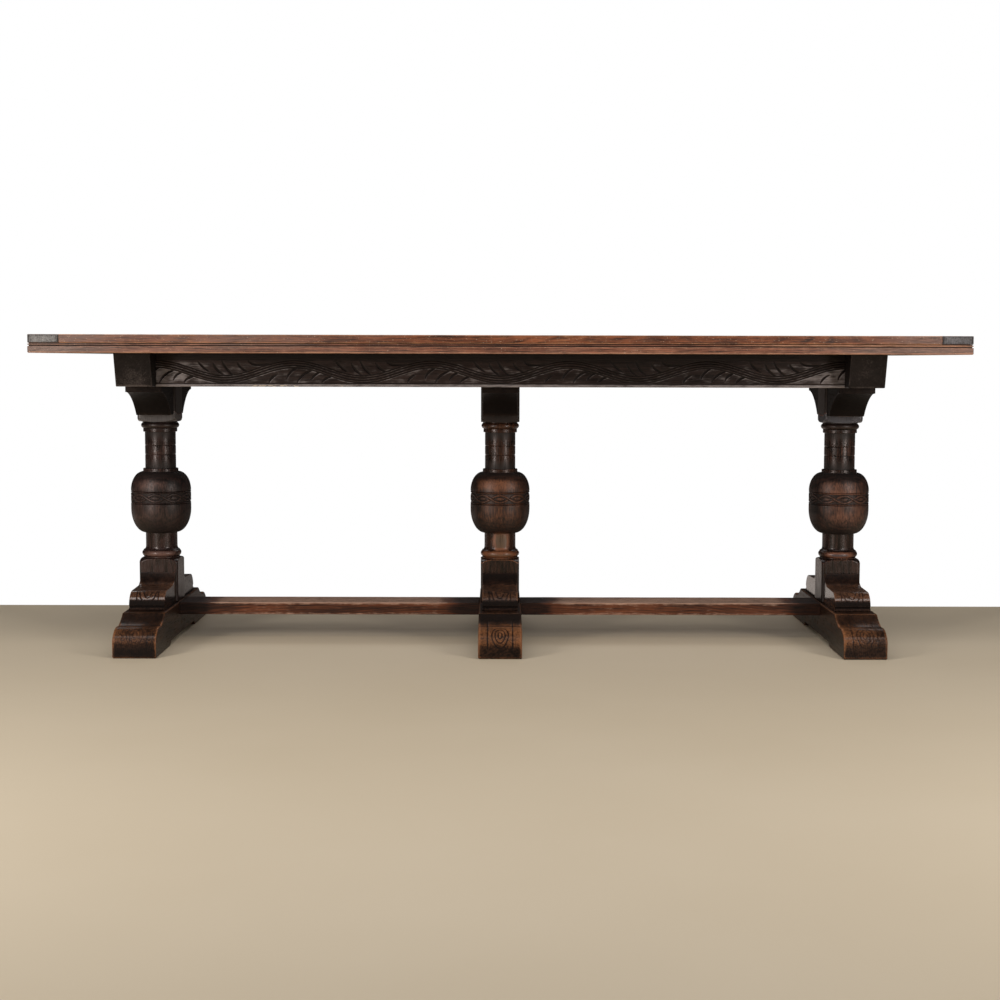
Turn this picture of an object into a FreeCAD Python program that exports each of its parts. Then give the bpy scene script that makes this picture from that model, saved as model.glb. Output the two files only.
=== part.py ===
import FreeCAD, Part
import math
import os

# Oak refectory table: three turned columns on sledge feet, a low stretcher, carved-rail frame, planked top.
# Millimetres. X runs along the table, Y from front (-) to back (+), Z up from the floor under its middle.

# Top
TABLE_HEIGHT = 762.0
TOP_LENGTH = 2180.0
TOP_WIDTH = 790.0
BOARD_THICKNESS = 20.0
BOARD_COUNT = 4
CLEAT_WIDTH = 73.0
TONGUE_THICKNESS = 7.0
TONGUE_LENGTH = 18.0
TONGUE_STOP = 28.0
ARRIS_RADIUS = 2.0

# Edge moulding under the rim of the top
MOULDING_HEIGHT = 23.0
MOULDING_WIDTH = 46.0
BEAD_HEIGHT = 3.6
QUIRK_HEIGHT = 1.8
MOULDING_ARRIS = 2.5

# Frame under the top
TRESTLE_INSET = 226.0
BEARER_WIDTH = 86.0
BEARER_HEIGHT = 102.0
BEARER_CLEARANCE = 8.0
BEARER_CANT = 32.0
RAIL_SETBACK = 44.0
RAIL_THICKNESS = 26.0
RAIL_TENON_LENGTH = 30.0
RAIL_TENON_THICKNESS = 12.0
RAIL_TENON_SHOULDER = 15.0
STUB_TENON_LENGTH = 14.0
STUB_TENON_SHOULDER = 18.0
GLUE_BLOCK_LEG = 42.0
GLUE_BLOCK_HEIGHT = 70.0

# Turn buttons that hold the top down, and their screws
BUTTON_LENGTH = 44.0
BUTTON_DEPTH = 38.0
BUTTON_HEIGHT = 22.0
BUTTON_TONGUE_LENGTH = 13.0
BUTTON_TONGUE_THICKNESS = 9.0
SCREW_RADIUS = 2.2
SCREW_HEAD_RADIUS = 4.4
SCREW_HEAD_HEIGHT = 3.0
SCREW_BITE = 13.0
BUTTON_PLACE_SHARES = (-0.37, -0.16, 0.16, 0.37)

# Columns: square blocks, and the turning between them from the lower block upward
BLOCK_WIDTH = 97.0
LOWER_BLOCK_HEIGHT = 109.0
UPPER_BLOCK_HEIGHT = 92.0
SHOULDER_HEIGHT = 18.0
LOWER_QUIRK_HEIGHT = 4.0
LOWER_QUIRK_RADIUS = 45.0
LOWER_TORUS_HEIGHT = 17.0
LOWER_TORUS_RADIUS = 49.0
LOWER_FLARE_HEIGHT = 9.0
LOWER_FLARE_RADIUS = 46.0
LOWER_NECK_HEIGHT = 35.0
LOWER_NECK_RADIUS = 39.5
BULB_HEIGHT = 155.0
BULB_RADIUS = 75.2
BULB_CUP_HEIGHT = 62.0
BULB_COVER_HEIGHT = 48.0
COLLAR_HEIGHT = 8.0
COLLAR_RADIUS = 44.0
UPPER_NECK_RADIUS = 38.5
FILLET_HEIGHT = 9.0
FILLET_RADIUS = 42.5
UPPER_TORUS_HEIGHT = 15.0
UPPER_TORUS_RADIUS = 47.7
UPPER_QUIRK_HEIGHT = 2.0
UPPER_QUIRK_RADIUS = 44.0
INCISED_WIDTH = 2.4
INCISED_DEPTH = 1.2
NECK_LINE_SHARES = (0.38, 0.63)
BULB_LINE_SHARES = (0.46, 0.665)
TOP_TENON_LENGTH = 55.0
FOOT_TENON_LENGTH = 70.0
COLUMN_TENON_THICKNESS = 40.0
COLUMN_TENON_WIDTH = 62.0

# Corbels on the front and back of the blocks
CORBEL_WIDTH = 87.0
UPPER_CORBEL_PROJECTION = 156.0
UPPER_CORBEL_HEIGHT = 74.0
UPPER_CORBEL_FILLET = 15.0
UPPER_CORBEL_STEP = 13.0
UPPER_CORBEL_LIP = 33.0
UPPER_CORBEL_SWEEP = 11.0
LOWER_CORBEL_PROJECTION = 152.0
LOWER_CORBEL_HEIGHT = 76.0
LOWER_CORBEL_LIP = 4.0
LOWER_CORBEL_SHELF = 47.0
LOWER_CORBEL_FALL = 2.0
LOWER_CORBEL_SWEEP_LENGTH = 50.0
LOWER_CORBEL_SWEEP = 9.0
LOWER_CORBEL_NOSE_LENGTH = 36.0
LOWER_CORBEL_NOSE = 9.0
LOWER_CORBEL_FILLET = 7.0
LOWER_CORBEL_QUIRK_HEIGHT = 5.0
LOWER_CORBEL_QUIRK_DEPTH = 4.0

# Sledge feet
FOOT_LENGTH = 710.0
FOOT_TOP_LENGTH = 470.0
FOOT_WIDTH = 104.0
FOOT_HEIGHT = 92.0
FOOT_NOSE_HEIGHT = 44.0
FOOT_HOLLOW = 3.0
FOOT_ROUND = 11.0
FOOT_INFLECTION_SHARES = (0.46, 0.5)
FOOT_PAD_LENGTH = 180.0
FOOT_PAD_SLOPE = 14.0
FOOT_RELIEF = 10.0

# Stretcher
STRETCHER_WIDTH = 110.0
STRETCHER_THICKNESS = 31.0
STRETCHER_TENON_LENGTH = 26.0
STRETCHER_TENON_WIDTH = 76.0
STRETCHER_TENON_THICKNESS = 15.0

# Pegs and dowels, cut eight-sided as riven ones are
PEG_RADIUS = 5.0
DOWEL_RADIUS = 5.0
DOWEL_LENGTH = 40.0
PEG_SIDES = 8
COLUMN_PEG_SPREAD = 36.0
COLUMN_PEG_DEPTH_SHARE = 0.5
FOOT_PEG_DEPTH_SHARE = 0.78
DOWEL_SPREAD = 46.0
DOWEL_HEIGHT_SHARE = 0.36

# Slack in the joints, room left at the end of blind holes, and how far a cutting shape passes a face
FIT = 0.1
DEPTH_SLACK = 1.0
OVERRUN = 4.0

# Levels and half sizes that several pieces share
board_bottom = TABLE_HEIGHT - BOARD_THICKNESS
bearer_bottom = board_bottom - BEARER_HEIGHT
half_top_length = TOP_LENGTH / 2
half_top_width = TOP_WIDTH / 2
trestle_spacing = half_top_length - TRESTLE_INSET
half_bearer_width = BEARER_WIDTH / 2
bearer_reach = half_top_width - MOULDING_WIDTH - BEARER_CLEARANCE
half_bearer_length = bearer_reach - BEARER_CANT
half_block = BLOCK_WIDTH / 2
half_foot_width = FOOT_WIDTH / 2
rail_outer = half_bearer_length - RAIL_SETBACK
rail_inner = rail_outer - RAIL_THICKNESS
rail_middle = (rail_outer + rail_inner) / 2
rail_half_length = trestle_spacing - half_bearer_width
lower_block_top = FOOT_HEIGHT + LOWER_BLOCK_HEIGHT
upper_block_bottom = bearer_bottom - UPPER_BLOCK_HEIGHT
TRESTLES = {"left": -trestle_spacing, "middle": 0.0, "right": trestle_spacing}
SIDES = {"front": -1, "back": 1}

pieces = {}


def box(x_range, y_range, z_range):
    """Block between two values along each axis, given in either order."""
    low = FreeCAD.Vector(min(x_range), min(y_range), min(z_range))
    high = FreeCAD.Vector(max(x_range), max(y_range), max(z_range))
    size = high - low
    return Part.makeBox(size.x, size.y, size.z, low)


def bow_middle(start, end):
    """Middle of the arc from start to end, bowed to the left of the way by end's third value."""
    run = end[0] - start[0]
    rise = end[1] - start[1]
    bow = end[2] / math.hypot(run, rise)
    return (start[0] + end[0]) / 2 - rise * bow, (start[1] + end[1]) / 2 + run * bow


def quarter_oval(start, end, lift):
    """Quarter of an oval that leaves start flat (level) or steep (upright), as end's third value says."""
    corner = (end[0], start[1]) if end[2] == "flat" else (start[0], end[1])
    curve = Part.BezierCurve()
    curve.setPoles([lift(*start[:2]), lift(*corner), lift(*end[:2])])
    curve.setWeight(2, math.sqrt(0.5))
    return curve


def outline(points, lift):
    """Closed face through flat points; a third value makes the stretch that ends there an arc or an oval."""
    edges = []
    for start, end in zip(points, points[1:] + points[:1]):
        here = lift(*start[:2])
        there = lift(*end[:2])
        if len(end) == 2:
            curve = Part.LineSegment(here, there)
        elif end[2] in ("flat", "steep"):
            curve = quarter_oval(start, end, lift)
        else:
            curve = Part.Arc(here, lift(*bow_middle(start, end)), there)
        edges.append(curve.toShape())
    return Part.Face(Part.Wire(edges))


def slab(points, x_middle, width):
    """Outline in the Y-Z plane, cut from a plank of the given width along X."""
    x_start = x_middle - width / 2
    face = outline(points, lambda y, z: FreeCAD.Vector(x_start, y, z))
    return face.extrude(FreeCAD.Vector(width, 0, 0))


def eight_sided(start, way, length, radius):
    """Eight-sided rod from a start point along a unit way."""
    turn = FreeCAD.Rotation(FreeCAD.Vector(0, 0, 1), way)
    corners = []
    for step in range(PEG_SIDES + 1):
        angle = 2 * math.pi * (step + 0.5) / PEG_SIDES
        corner = FreeCAD.Vector(radius * math.cos(angle), radius * math.sin(angle), 0)
        corners.append(start + turn.multVec(corner))
    face = Part.Face(Part.makePolygon(corners))
    return face.extrude(way * length)


def fix_with_pegs(node, places, radius, holed_nodes):
    """Peg node of (start, way, length, slack at the far end), let into holes in the nodes it joins."""
    pegs = [eight_sided(start, way, length, radius) for start, way, length, slack in places]
    holes = []
    for start, way, length, slack in places:
        holes.append(eight_sided(start, way, length + slack, radius + FIT))
    bored = Part.makeCompound(holes)
    for name in holed_nodes:
        pieces[name] = pieces[name].cut(bored)
    pieces[node] = Part.makeCompound(pegs)


def round_arris(shape, on_arris, radius):
    """Rounds the edges whose middle passes the test."""
    chosen = [edge for edge in shape.Edges if on_arris(edge.BoundBox.Center)]
    return shape.makeFillet(radius, chosen)


# Top: boards tongued into end cleats

half_board = half_top_length - CLEAT_WIDTH
board_width = TOP_WIDTH / BOARD_COUNT
tongue_low = board_bottom + (BOARD_THICKNESS - TONGUE_THICKNESS) / 2
tongue_high = tongue_low + TONGUE_THICKNESS
tongue_end = half_board + TONGUE_LENGTH
tongue_limit = half_top_width - TONGUE_STOP
board_names = [f"top_board_{number + 1}" for number in range(BOARD_COUNT)]


def same(first, second):
    return math.isclose(first, second, abs_tol=FIT)


def on_long_arris(middle):
    return same(abs(middle.y), half_top_width) and same(middle.z, TABLE_HEIGHT)


def on_cleat_arris(middle):
    at_end = same(abs(middle.x), half_top_length)
    at_side = same(abs(middle.y), half_top_width)
    return same(middle.z, TABLE_HEIGHT) and (at_end or at_side)


def make_board(number):
    front = -half_top_width + number * board_width
    back = front + board_width
    plank = box((-half_board, half_board), (front, back), (board_bottom, TABLE_HEIGHT))
    tongue_sides = (max(front, -tongue_limit), min(back, tongue_limit))
    tongue = box((-tongue_end, tongue_end), tongue_sides, (tongue_low, tongue_high))
    board = plank.fuse(tongue).removeSplitter()
    if number in (0, BOARD_COUNT - 1):
        board = round_arris(board, on_long_arris, ARRIS_RADIUS)
    return board


def make_cleat(side):
    levels = (board_bottom, TABLE_HEIGHT)
    cleat = box((side * half_board, side * half_top_length), (-half_top_width, half_top_width), levels)
    cleat = round_arris(cleat, on_cleat_arris, ARRIS_RADIUS)
    groove_sides = (-tongue_limit - FIT, tongue_limit + FIT)
    groove_ends = (side * (half_board - OVERRUN), side * (tongue_end + DEPTH_SLACK))
    return cleat.cut(box(groove_ends, groove_sides, (tongue_low - FIT, tongue_high + FIT)))


for number, name in enumerate(board_names):
    pieces[name] = make_board(number)
pieces["end_cleat_left"] = make_cleat(-1)
pieces["end_cleat_right"] = make_cleat(1)

cleat_peg_places = []
for side in (-1, 1):
    for number in range(BOARD_COUNT):
        peg_y = -half_top_width + (number + 0.5) * board_width
        foot_of_peg = FreeCAD.Vector(side * (half_board + TONGUE_LENGTH / 2), peg_y, board_bottom)
        cleat_peg_places.append((foot_of_peg, FreeCAD.Vector(0, 0, 1), BOARD_THICKNESS, 0))
fix_with_pegs("cleat_pegs", cleat_peg_places, PEG_RADIUS, board_names + ["end_cleat_left", "end_cleat_right"])


# Edge moulding: one section, four lengths mitred at the corners

def moulding_section(outer):
    """Section with its outer face at the given distance from the table's middle."""
    bead_radius = BEAD_HEIGHT / 2
    inner = outer - MOULDING_WIDTH
    sunk = outer - bead_radius
    low = board_bottom - MOULDING_HEIGHT
    bead_top = board_bottom - QUIRK_HEIGHT
    bead_low = bead_top - BEAD_HEIGHT
    face_top = bead_low - QUIRK_HEIGHT
    return [
        (inner, low),
        (outer - MOULDING_ARRIS, low),
        (outer, low + MOULDING_ARRIS, "flat"),
        (outer, face_top),
        (sunk, face_top),
        (sunk, bead_low),
        (sunk, bead_top, -bead_radius),
        (sunk, board_bottom),
        (inner, board_bottom),
    ]


def mitred_block(half_run, half_across):
    """Trapezium that trims a length running along X to its mitres, on the +Y side."""
    levels = (board_bottom - MOULDING_HEIGHT - OVERRUN, board_bottom + OVERRUN)
    corners = [
        (-half_run, half_across),
        (half_run, half_across),
        (half_run - MOULDING_WIDTH, half_across - MOULDING_WIDTH),
        (-half_run + MOULDING_WIDTH, half_across - MOULDING_WIDTH),
    ]
    face = outline(corners, lambda x, y: FreeCAD.Vector(x, y, levels[0]))
    return face.extrude(FreeCAD.Vector(0, 0, levels[1] - levels[0]))


def make_moulding(half_run, half_across, turn):
    length = slab(moulding_section(half_across), 0, 2 * half_run)
    length = length.common(mitred_block(half_run, half_across))
    length.rotate(FreeCAD.Vector(0, 0, 0), FreeCAD.Vector(0, 0, 1), turn)
    return length


pieces["edge_moulding_back"] = make_moulding(half_top_length, half_top_width, 0)
pieces["edge_moulding_left"] = make_moulding(half_top_width, half_top_length, 90)
pieces["edge_moulding_front"] = make_moulding(half_top_length, half_top_width, 180)
pieces["edge_moulding_right"] = make_moulding(half_top_width, half_top_length, 270)


# Frame: rails tenoned into the end bearers, the middle bearer stub-tenoned into the rails

frame_levels = (bearer_bottom, board_bottom)
rail_tenon_levels = (bearer_bottom + RAIL_TENON_SHOULDER, board_bottom - RAIL_TENON_SHOULDER)
stub_levels = (bearer_bottom + STUB_TENON_SHOULDER, board_bottom - STUB_TENON_SHOULDER)
stub_half_width = half_bearer_width - STUB_TENON_SHOULDER
half_rail_tenon = RAIL_TENON_THICKNESS / 2
half_column_tenon = COLUMN_TENON_THICKNESS / 2
half_column_tenon_width = COLUMN_TENON_WIDTH / 2


def grown(limits, margin):
    return (min(limits) - margin, max(limits) + margin)


def make_rail(side):
    body = box((-rail_half_length, rail_half_length), (side * rail_inner, side * rail_outer), frame_levels)
    tenon_end = rail_half_length + RAIL_TENON_LENGTH
    tenon_sides = (side * rail_middle - half_rail_tenon, side * rail_middle + half_rail_tenon)
    rail = body.fuse(box((-tenon_end, tenon_end), tenon_sides, rail_tenon_levels)).removeSplitter()
    mortise_sides = (side * (rail_inner - OVERRUN), side * (rail_inner + STUB_TENON_LENGTH + DEPTH_SLACK))
    mortise_ends = grown((-stub_half_width, stub_half_width), FIT)
    return rail.cut(box(mortise_ends, mortise_sides, grown(stub_levels, FIT)))


def column_mortise(x_middle):
    ends = (x_middle - half_column_tenon - FIT, x_middle + half_column_tenon + FIT)
    sides = (-half_column_tenon_width - FIT, half_column_tenon_width + FIT)
    return box(ends, sides, (bearer_bottom - OVERRUN, bearer_bottom + TOP_TENON_LENGTH + DEPTH_SLACK))


def make_end_bearer(side):
    section = [
        (-half_bearer_length, bearer_bottom),
        (half_bearer_length, bearer_bottom),
        (bearer_reach, board_bottom),
        (-bearer_reach, board_bottom),
    ]
    bearer = slab(section, side * trestle_spacing, BEARER_WIDTH)
    mortise_end = rail_half_length + RAIL_TENON_LENGTH + DEPTH_SLACK
    mortise_ends = (side * (rail_half_length - OVERRUN), side * mortise_end)
    for rail_side in SIDES.values():
        tenon_middle = rail_side * rail_middle
        mortise_sides = grown((tenon_middle - half_rail_tenon, tenon_middle + half_rail_tenon), FIT)
        bearer = bearer.cut(box(mortise_ends, mortise_sides, grown(rail_tenon_levels, FIT)))
    return bearer.cut(column_mortise(side * trestle_spacing))


def make_middle_bearer():
    body = box((-half_bearer_width, half_bearer_width), (-rail_inner, rail_inner), frame_levels)
    stub_end = rail_inner + STUB_TENON_LENGTH
    stub = box((-stub_half_width, stub_half_width), (-stub_end, stub_end), stub_levels)
    return body.fuse(stub).removeSplitter().cut(column_mortise(0))


for side_name, side in SIDES.items():
    pieces[f"frieze_rail_{side_name}"] = make_rail(side)
pieces["bearer_left"] = make_end_bearer(-1)
pieces["bearer_middle"] = make_middle_bearer()
pieces["bearer_right"] = make_end_bearer(1)


def make_glue_block(corner_x, way_x, side):
    """Three-cornered block in the angle of a bearer's side and a rail's inner face."""
    corners = [
        (corner_x, side * rail_inner),
        (corner_x + way_x * GLUE_BLOCK_LEG, side * rail_inner),
        (corner_x, side * (rail_inner - GLUE_BLOCK_LEG)),
    ]
    face = outline(corners, lambda x, y: FreeCAD.Vector(x, y, board_bottom))
    return face.extrude(FreeCAD.Vector(0, 0, -GLUE_BLOCK_HEIGHT))


glue_blocks = []
for side in SIDES.values():
    for way in (-1, 1):
        glue_blocks.append(make_glue_block(way * half_bearer_width, way, side))
        glue_blocks.append(make_glue_block(way * rail_half_length, -way, side))
pieces["glue_blocks"] = Part.makeCompound(glue_blocks)


# Turn buttons: tongue in a slot of the rail, screwed up into the boards

button_bottom = board_bottom - BUTTON_HEIGHT
button_tongue_levels = (button_bottom, button_bottom + BUTTON_TONGUE_THICKNESS)


def make_screw(place, radius_slack, tip_slack):
    """Screw with a sunk head, head down, at a place on the button's underside, with few faces."""
    up = FreeCAD.Vector(0, 0, 1)
    head = eight_sided(place, up, SCREW_HEAD_HEIGHT, SCREW_HEAD_RADIUS + radius_slack)
    shank = eight_sided(place, up, BUTTON_HEIGHT + SCREW_BITE + tip_slack, SCREW_RADIUS + radius_slack)
    return head.fuse(shank).removeSplitter()


buttons = []
screws = []
screw_holes = []
for side in SIDES.values():
    for share in BUTTON_PLACE_SHARES:
        button_x = share * 2 * rail_half_length
        ends = (button_x - BUTTON_LENGTH / 2, button_x + BUTTON_LENGTH / 2)
        body_sides = (side * rail_inner, side * (rail_inner - BUTTON_DEPTH))
        tongue_sides = (side * (rail_inner + BUTTON_TONGUE_LENGTH), side * (rail_inner - BUTTON_DEPTH))
        body = box(ends, body_sides, (button_bottom, board_bottom))
        tongue = box(ends, tongue_sides, button_tongue_levels)
        screw_place = FreeCAD.Vector(button_x, side * (rail_inner - BUTTON_DEPTH / 2), button_bottom)
        hole = make_screw(screw_place, FIT, DEPTH_SLACK)
        buttons.append(body.fuse(tongue).removeSplitter().cut(hole))
        screws.append(make_screw(screw_place, 0, 0))
        screw_holes.append(hole)
        slot_sides = (side * (rail_inner - OVERRUN), side * (rail_inner + BUTTON_TONGUE_LENGTH + DEPTH_SLACK))
        slot = box(grown(ends, FIT), slot_sides, grown(button_tongue_levels, FIT))
        rail_name = f"frieze_rail_{'front' if side < 0 else 'back'}"
        pieces[rail_name] = pieces[rail_name].cut(slot)
pieces["top_buttons"] = Part.makeCompound(buttons)
pieces["button_screws"] = Part.makeCompound(screws)
for name in board_names:
    pieces[name] = pieces[name].cut(Part.makeCompound(screw_holes))


# Columns: one turning with square blocks left at both ends, whose shoulders the lathe has rounded

def incised_line(radius, level):
    """V cut of a turned line, from below to above the level."""
    return [
        (radius, level - INCISED_WIDTH / 2),
        (radius - INCISED_DEPTH, level),
        (radius, level + INCISED_WIDTH / 2),
    ]


def turned_section():
    """Half section of the turning, from the lower block's top to the upper block's bottom."""
    points = [(0, lower_block_top), (LOWER_QUIRK_RADIUS, lower_block_top)]
    level = lower_block_top + LOWER_QUIRK_HEIGHT
    torus_core = LOWER_TORUS_RADIUS - LOWER_TORUS_HEIGHT / 2
    points += [(LOWER_QUIRK_RADIUS, level), (torus_core, level)]
    level += LOWER_TORUS_HEIGHT
    points.append((torus_core, level, -LOWER_TORUS_HEIGHT / 2))
    points.append((LOWER_FLARE_RADIUS, level))
    level += LOWER_FLARE_HEIGHT
    points.append((LOWER_NECK_RADIUS, level, "flat"))
    level += LOWER_NECK_HEIGHT
    points.append((LOWER_NECK_RADIUS, level))
    points += bulb_section(level)
    level += BULB_HEIGHT + COLLAR_HEIGHT
    points += [(COLLAR_RADIUS, level), (UPPER_NECK_RADIUS, level)]
    neck_top = upper_block_bottom - UPPER_QUIRK_HEIGHT - UPPER_TORUS_HEIGHT - FILLET_HEIGHT
    for share in NECK_LINE_SHARES:
        points += incised_line(UPPER_NECK_RADIUS, level + share * (neck_top - level))
    points += [(UPPER_NECK_RADIUS, neck_top), (FILLET_RADIUS, neck_top)]
    level = neck_top + FILLET_HEIGHT
    torus_core = UPPER_TORUS_RADIUS - UPPER_TORUS_HEIGHT / 2
    points += [(FILLET_RADIUS, level), (torus_core, level)]
    level += UPPER_TORUS_HEIGHT
    points += [(torus_core, level, -UPPER_TORUS_HEIGHT / 2), (UPPER_QUIRK_RADIUS, level)]
    points += [(UPPER_QUIRK_RADIUS, upper_block_bottom), (0, upper_block_bottom)]
    return points


def bulb_section(bottom):
    """Cup below, straight band between two turned lines, rounded cover above."""
    points = [(BULB_RADIUS, bottom + BULB_CUP_HEIGHT, "flat")]
    for share in BULB_LINE_SHARES:
        points += incised_line(BULB_RADIUS, bottom + share * BULB_HEIGHT)
    points.append((BULB_RADIUS, bottom + BULB_HEIGHT - BULB_COVER_HEIGHT))
    points.append((COLLAR_RADIUS, bottom + BULB_HEIGHT, "steep"))
    return points


def block_envelope(flat_end, shoulder_end, turned_radius):
    """Round the lathe leaves on a block: full at its flat end, rounded in at the turned end."""
    corner = half_block * math.sqrt(2)
    shoulder = math.copysign(SHOULDER_HEIGHT, shoulder_end - flat_end)
    section = [
        (0, flat_end),
        (corner, flat_end),
        (corner, shoulder_end - shoulder),
        (turned_radius, shoulder_end, "steep"),
        (0, shoulder_end),
    ]
    face = outline(section, lambda r, z: FreeCAD.Vector(r, 0, z))
    return face.revolve(FreeCAD.Vector(0, 0, 0), FreeCAD.Vector(0, 0, 1), 360)


def make_column():
    across = (-half_block, half_block)
    turning = outline(turned_section(), lambda r, z: FreeCAD.Vector(r, 0, z))
    column = turning.revolve(FreeCAD.Vector(0, 0, 0), FreeCAD.Vector(0, 0, 1), 360)
    lower_block = box(across, across, (FOOT_HEIGHT, lower_block_top))
    lower_block = lower_block.common(block_envelope(FOOT_HEIGHT, lower_block_top, LOWER_TORUS_RADIUS))
    upper_block = box(across, across, (upper_block_bottom, bearer_bottom))
    upper_block = upper_block.common(block_envelope(bearer_bottom, upper_block_bottom, UPPER_TORUS_RADIUS))
    tenon_ends = (-half_column_tenon, half_column_tenon)
    tenon_sides = (-half_column_tenon_width, half_column_tenon_width)
    foot_tenon = box(tenon_ends, tenon_sides, (FOOT_HEIGHT - FOOT_TENON_LENGTH, FOOT_HEIGHT))
    top_tenon = box(tenon_ends, tenon_sides, (bearer_bottom, bearer_bottom + TOP_TENON_LENGTH))
    return column.multiFuse([lower_block, upper_block, foot_tenon, top_tenon]).removeSplitter()


column = make_column()
for trestle, x_middle in TRESTLES.items():
    pieces[f"column_{trestle}"] = column.translated(FreeCAD.Vector(x_middle, 0, 0))


# Corbels: sawn brackets, narrower than the blocks they are dowelled to

upper_corbel_bottom = bearer_bottom - UPPER_CORBEL_HEIGHT
upper_corbel_reach = half_block + UPPER_CORBEL_PROJECTION
lower_corbel_reach = half_block + LOWER_CORBEL_PROJECTION
lower_corbel_top = FOOT_HEIGHT + LOWER_CORBEL_HEIGHT


def mirrored(points):
    """The same outline on the -Y side, where a bow to the left becomes one to the right."""
    return [(-point[0], point[1], *(-bow for bow in point[2:])) for point in points]


def upper_corbel_section():
    fillet_bottom = bearer_bottom - UPPER_CORBEL_FILLET
    lip_end = half_block + UPPER_CORBEL_LIP
    return [
        (half_block, bearer_bottom),
        (half_block, upper_corbel_bottom),
        (lip_end, upper_corbel_bottom),
        (upper_corbel_reach - UPPER_CORBEL_STEP, fillet_bottom, UPPER_CORBEL_SWEEP),
        (upper_corbel_reach, fillet_bottom),
        (upper_corbel_reach, bearer_bottom),
    ]


def lower_corbel_section():
    fillet_top = FOOT_HEIGHT + LOWER_CORBEL_FILLET
    quirk_top = fillet_top + LOWER_CORBEL_QUIRK_HEIGHT
    shelf = FOOT_HEIGHT + LOWER_CORBEL_SHELF
    sweep_end = half_block + LOWER_CORBEL_SWEEP_LENGTH
    nose_start = lower_corbel_reach - LOWER_CORBEL_NOSE_LENGTH
    return [
        (half_block, FOOT_HEIGHT),
        (lower_corbel_reach, FOOT_HEIGHT),
        (lower_corbel_reach, fillet_top),
        (lower_corbel_reach - LOWER_CORBEL_QUIRK_DEPTH, fillet_top),
        (lower_corbel_reach - LOWER_CORBEL_QUIRK_DEPTH, quirk_top),
        (lower_corbel_reach, quirk_top),
        (nose_start, shelf - LOWER_CORBEL_FALL, -LOWER_CORBEL_NOSE),
        (sweep_end, shelf),
        (half_block + LOWER_CORBEL_LIP, lower_corbel_top, LOWER_CORBEL_SWEEP),
        (half_block, lower_corbel_top),
    ]


dowel_places = []
corbel_names = []
for trestle, x_middle in TRESTLES.items():
    for side_name, side in SIDES.items():
        sections = {"upper": upper_corbel_section(), "lower": lower_corbel_section()}
        bottoms = {"upper": upper_corbel_bottom, "lower": FOOT_HEIGHT}
        heights = {"upper": UPPER_CORBEL_HEIGHT, "lower": LOWER_CORBEL_HEIGHT}
        for place, section in sections.items():
            name = f"{place}_corbel_{trestle}_{side_name}"
            shape = slab(section if side > 0 else mirrored(section), x_middle, CORBEL_WIDTH)
            pieces[name] = shape
            corbel_names.append(name)
            dowel_z = bottoms[place] + DOWEL_HEIGHT_SHARE * heights[place]
            for dowel_x in (x_middle - DOWEL_SPREAD / 2, x_middle + DOWEL_SPREAD / 2):
                start = FreeCAD.Vector(dowel_x, side * (half_block - DOWEL_LENGTH / 2), dowel_z)
                dowel_places.append((start, FreeCAD.Vector(0, side, 0), DOWEL_LENGTH, DEPTH_SLACK))
column_names = [f"column_{trestle}" for trestle in TRESTLES]
fix_with_pegs("corbel_dowels", dowel_places, DOWEL_RADIUS, column_names + corbel_names)


# Sledge feet: ogee ends, two pads under each, mortised for the column and the stretcher

def foot_outline():
    """Outline of a foot: the +Y end from the underside up to the top, then its mirror from the top down."""
    half_length = FOOT_LENGTH / 2
    half_flat = FOOT_TOP_LENGTH / 2
    pad_start = half_length - FOOT_PAD_LENGTH
    inflection_y = half_flat + FOOT_INFLECTION_SHARES[0] * (half_length - half_flat)
    inflection_z = FOOT_NOSE_HEIGHT + FOOT_INFLECTION_SHARES[1] * (FOOT_HEIGHT - FOOT_NOSE_HEIGHT)
    return [
        (pad_start - FOOT_PAD_SLOPE, FOOT_RELIEF),
        (pad_start, 0),
        (half_length, 0),
        (half_length, FOOT_NOSE_HEIGHT),
        (inflection_y, inflection_z, -FOOT_ROUND),
        (half_flat, FOOT_HEIGHT, FOOT_HOLLOW),
        (-half_flat, FOOT_HEIGHT),
        (-inflection_y, inflection_z, FOOT_HOLLOW),
        (-half_length, FOOT_NOSE_HEIGHT, -FOOT_ROUND),
        (-half_length, 0),
        (-pad_start, 0),
        (FOOT_PAD_SLOPE - pad_start, FOOT_RELIEF),
    ]


stretcher_levels = (FOOT_HEIGHT - STRETCHER_THICKNESS, FOOT_HEIGHT)
stretcher_tenon_low = FOOT_HEIGHT - (STRETCHER_THICKNESS + STRETCHER_TENON_THICKNESS) / 2
stretcher_tenon_levels = (stretcher_tenon_low, stretcher_tenon_low + STRETCHER_TENON_THICKNESS)
half_stretcher = STRETCHER_WIDTH / 2
half_stretcher_tenon = STRETCHER_TENON_WIDTH / 2


def make_foot(x_middle, stretcher_ways):
    foot = slab(foot_outline(), x_middle, FOOT_WIDTH)
    ends = grown((x_middle - half_column_tenon, x_middle + half_column_tenon), FIT)
    sides = grown((-half_column_tenon_width, half_column_tenon_width), FIT)
    mortise_bottom = FOOT_HEIGHT - FOOT_TENON_LENGTH - DEPTH_SLACK
    foot = foot.cut(box(ends, sides, (mortise_bottom, FOOT_HEIGHT + OVERRUN)))
    tenon_sides = grown((-half_stretcher_tenon, half_stretcher_tenon), FIT)
    for way in stretcher_ways:
        mortise_end = half_foot_width - STRETCHER_TENON_LENGTH - DEPTH_SLACK
        ends = (x_middle + way * (half_foot_width + OVERRUN), x_middle + way * mortise_end)
        foot = foot.cut(box(ends, tenon_sides, grown(stretcher_tenon_levels, FIT)))
    return foot


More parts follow.
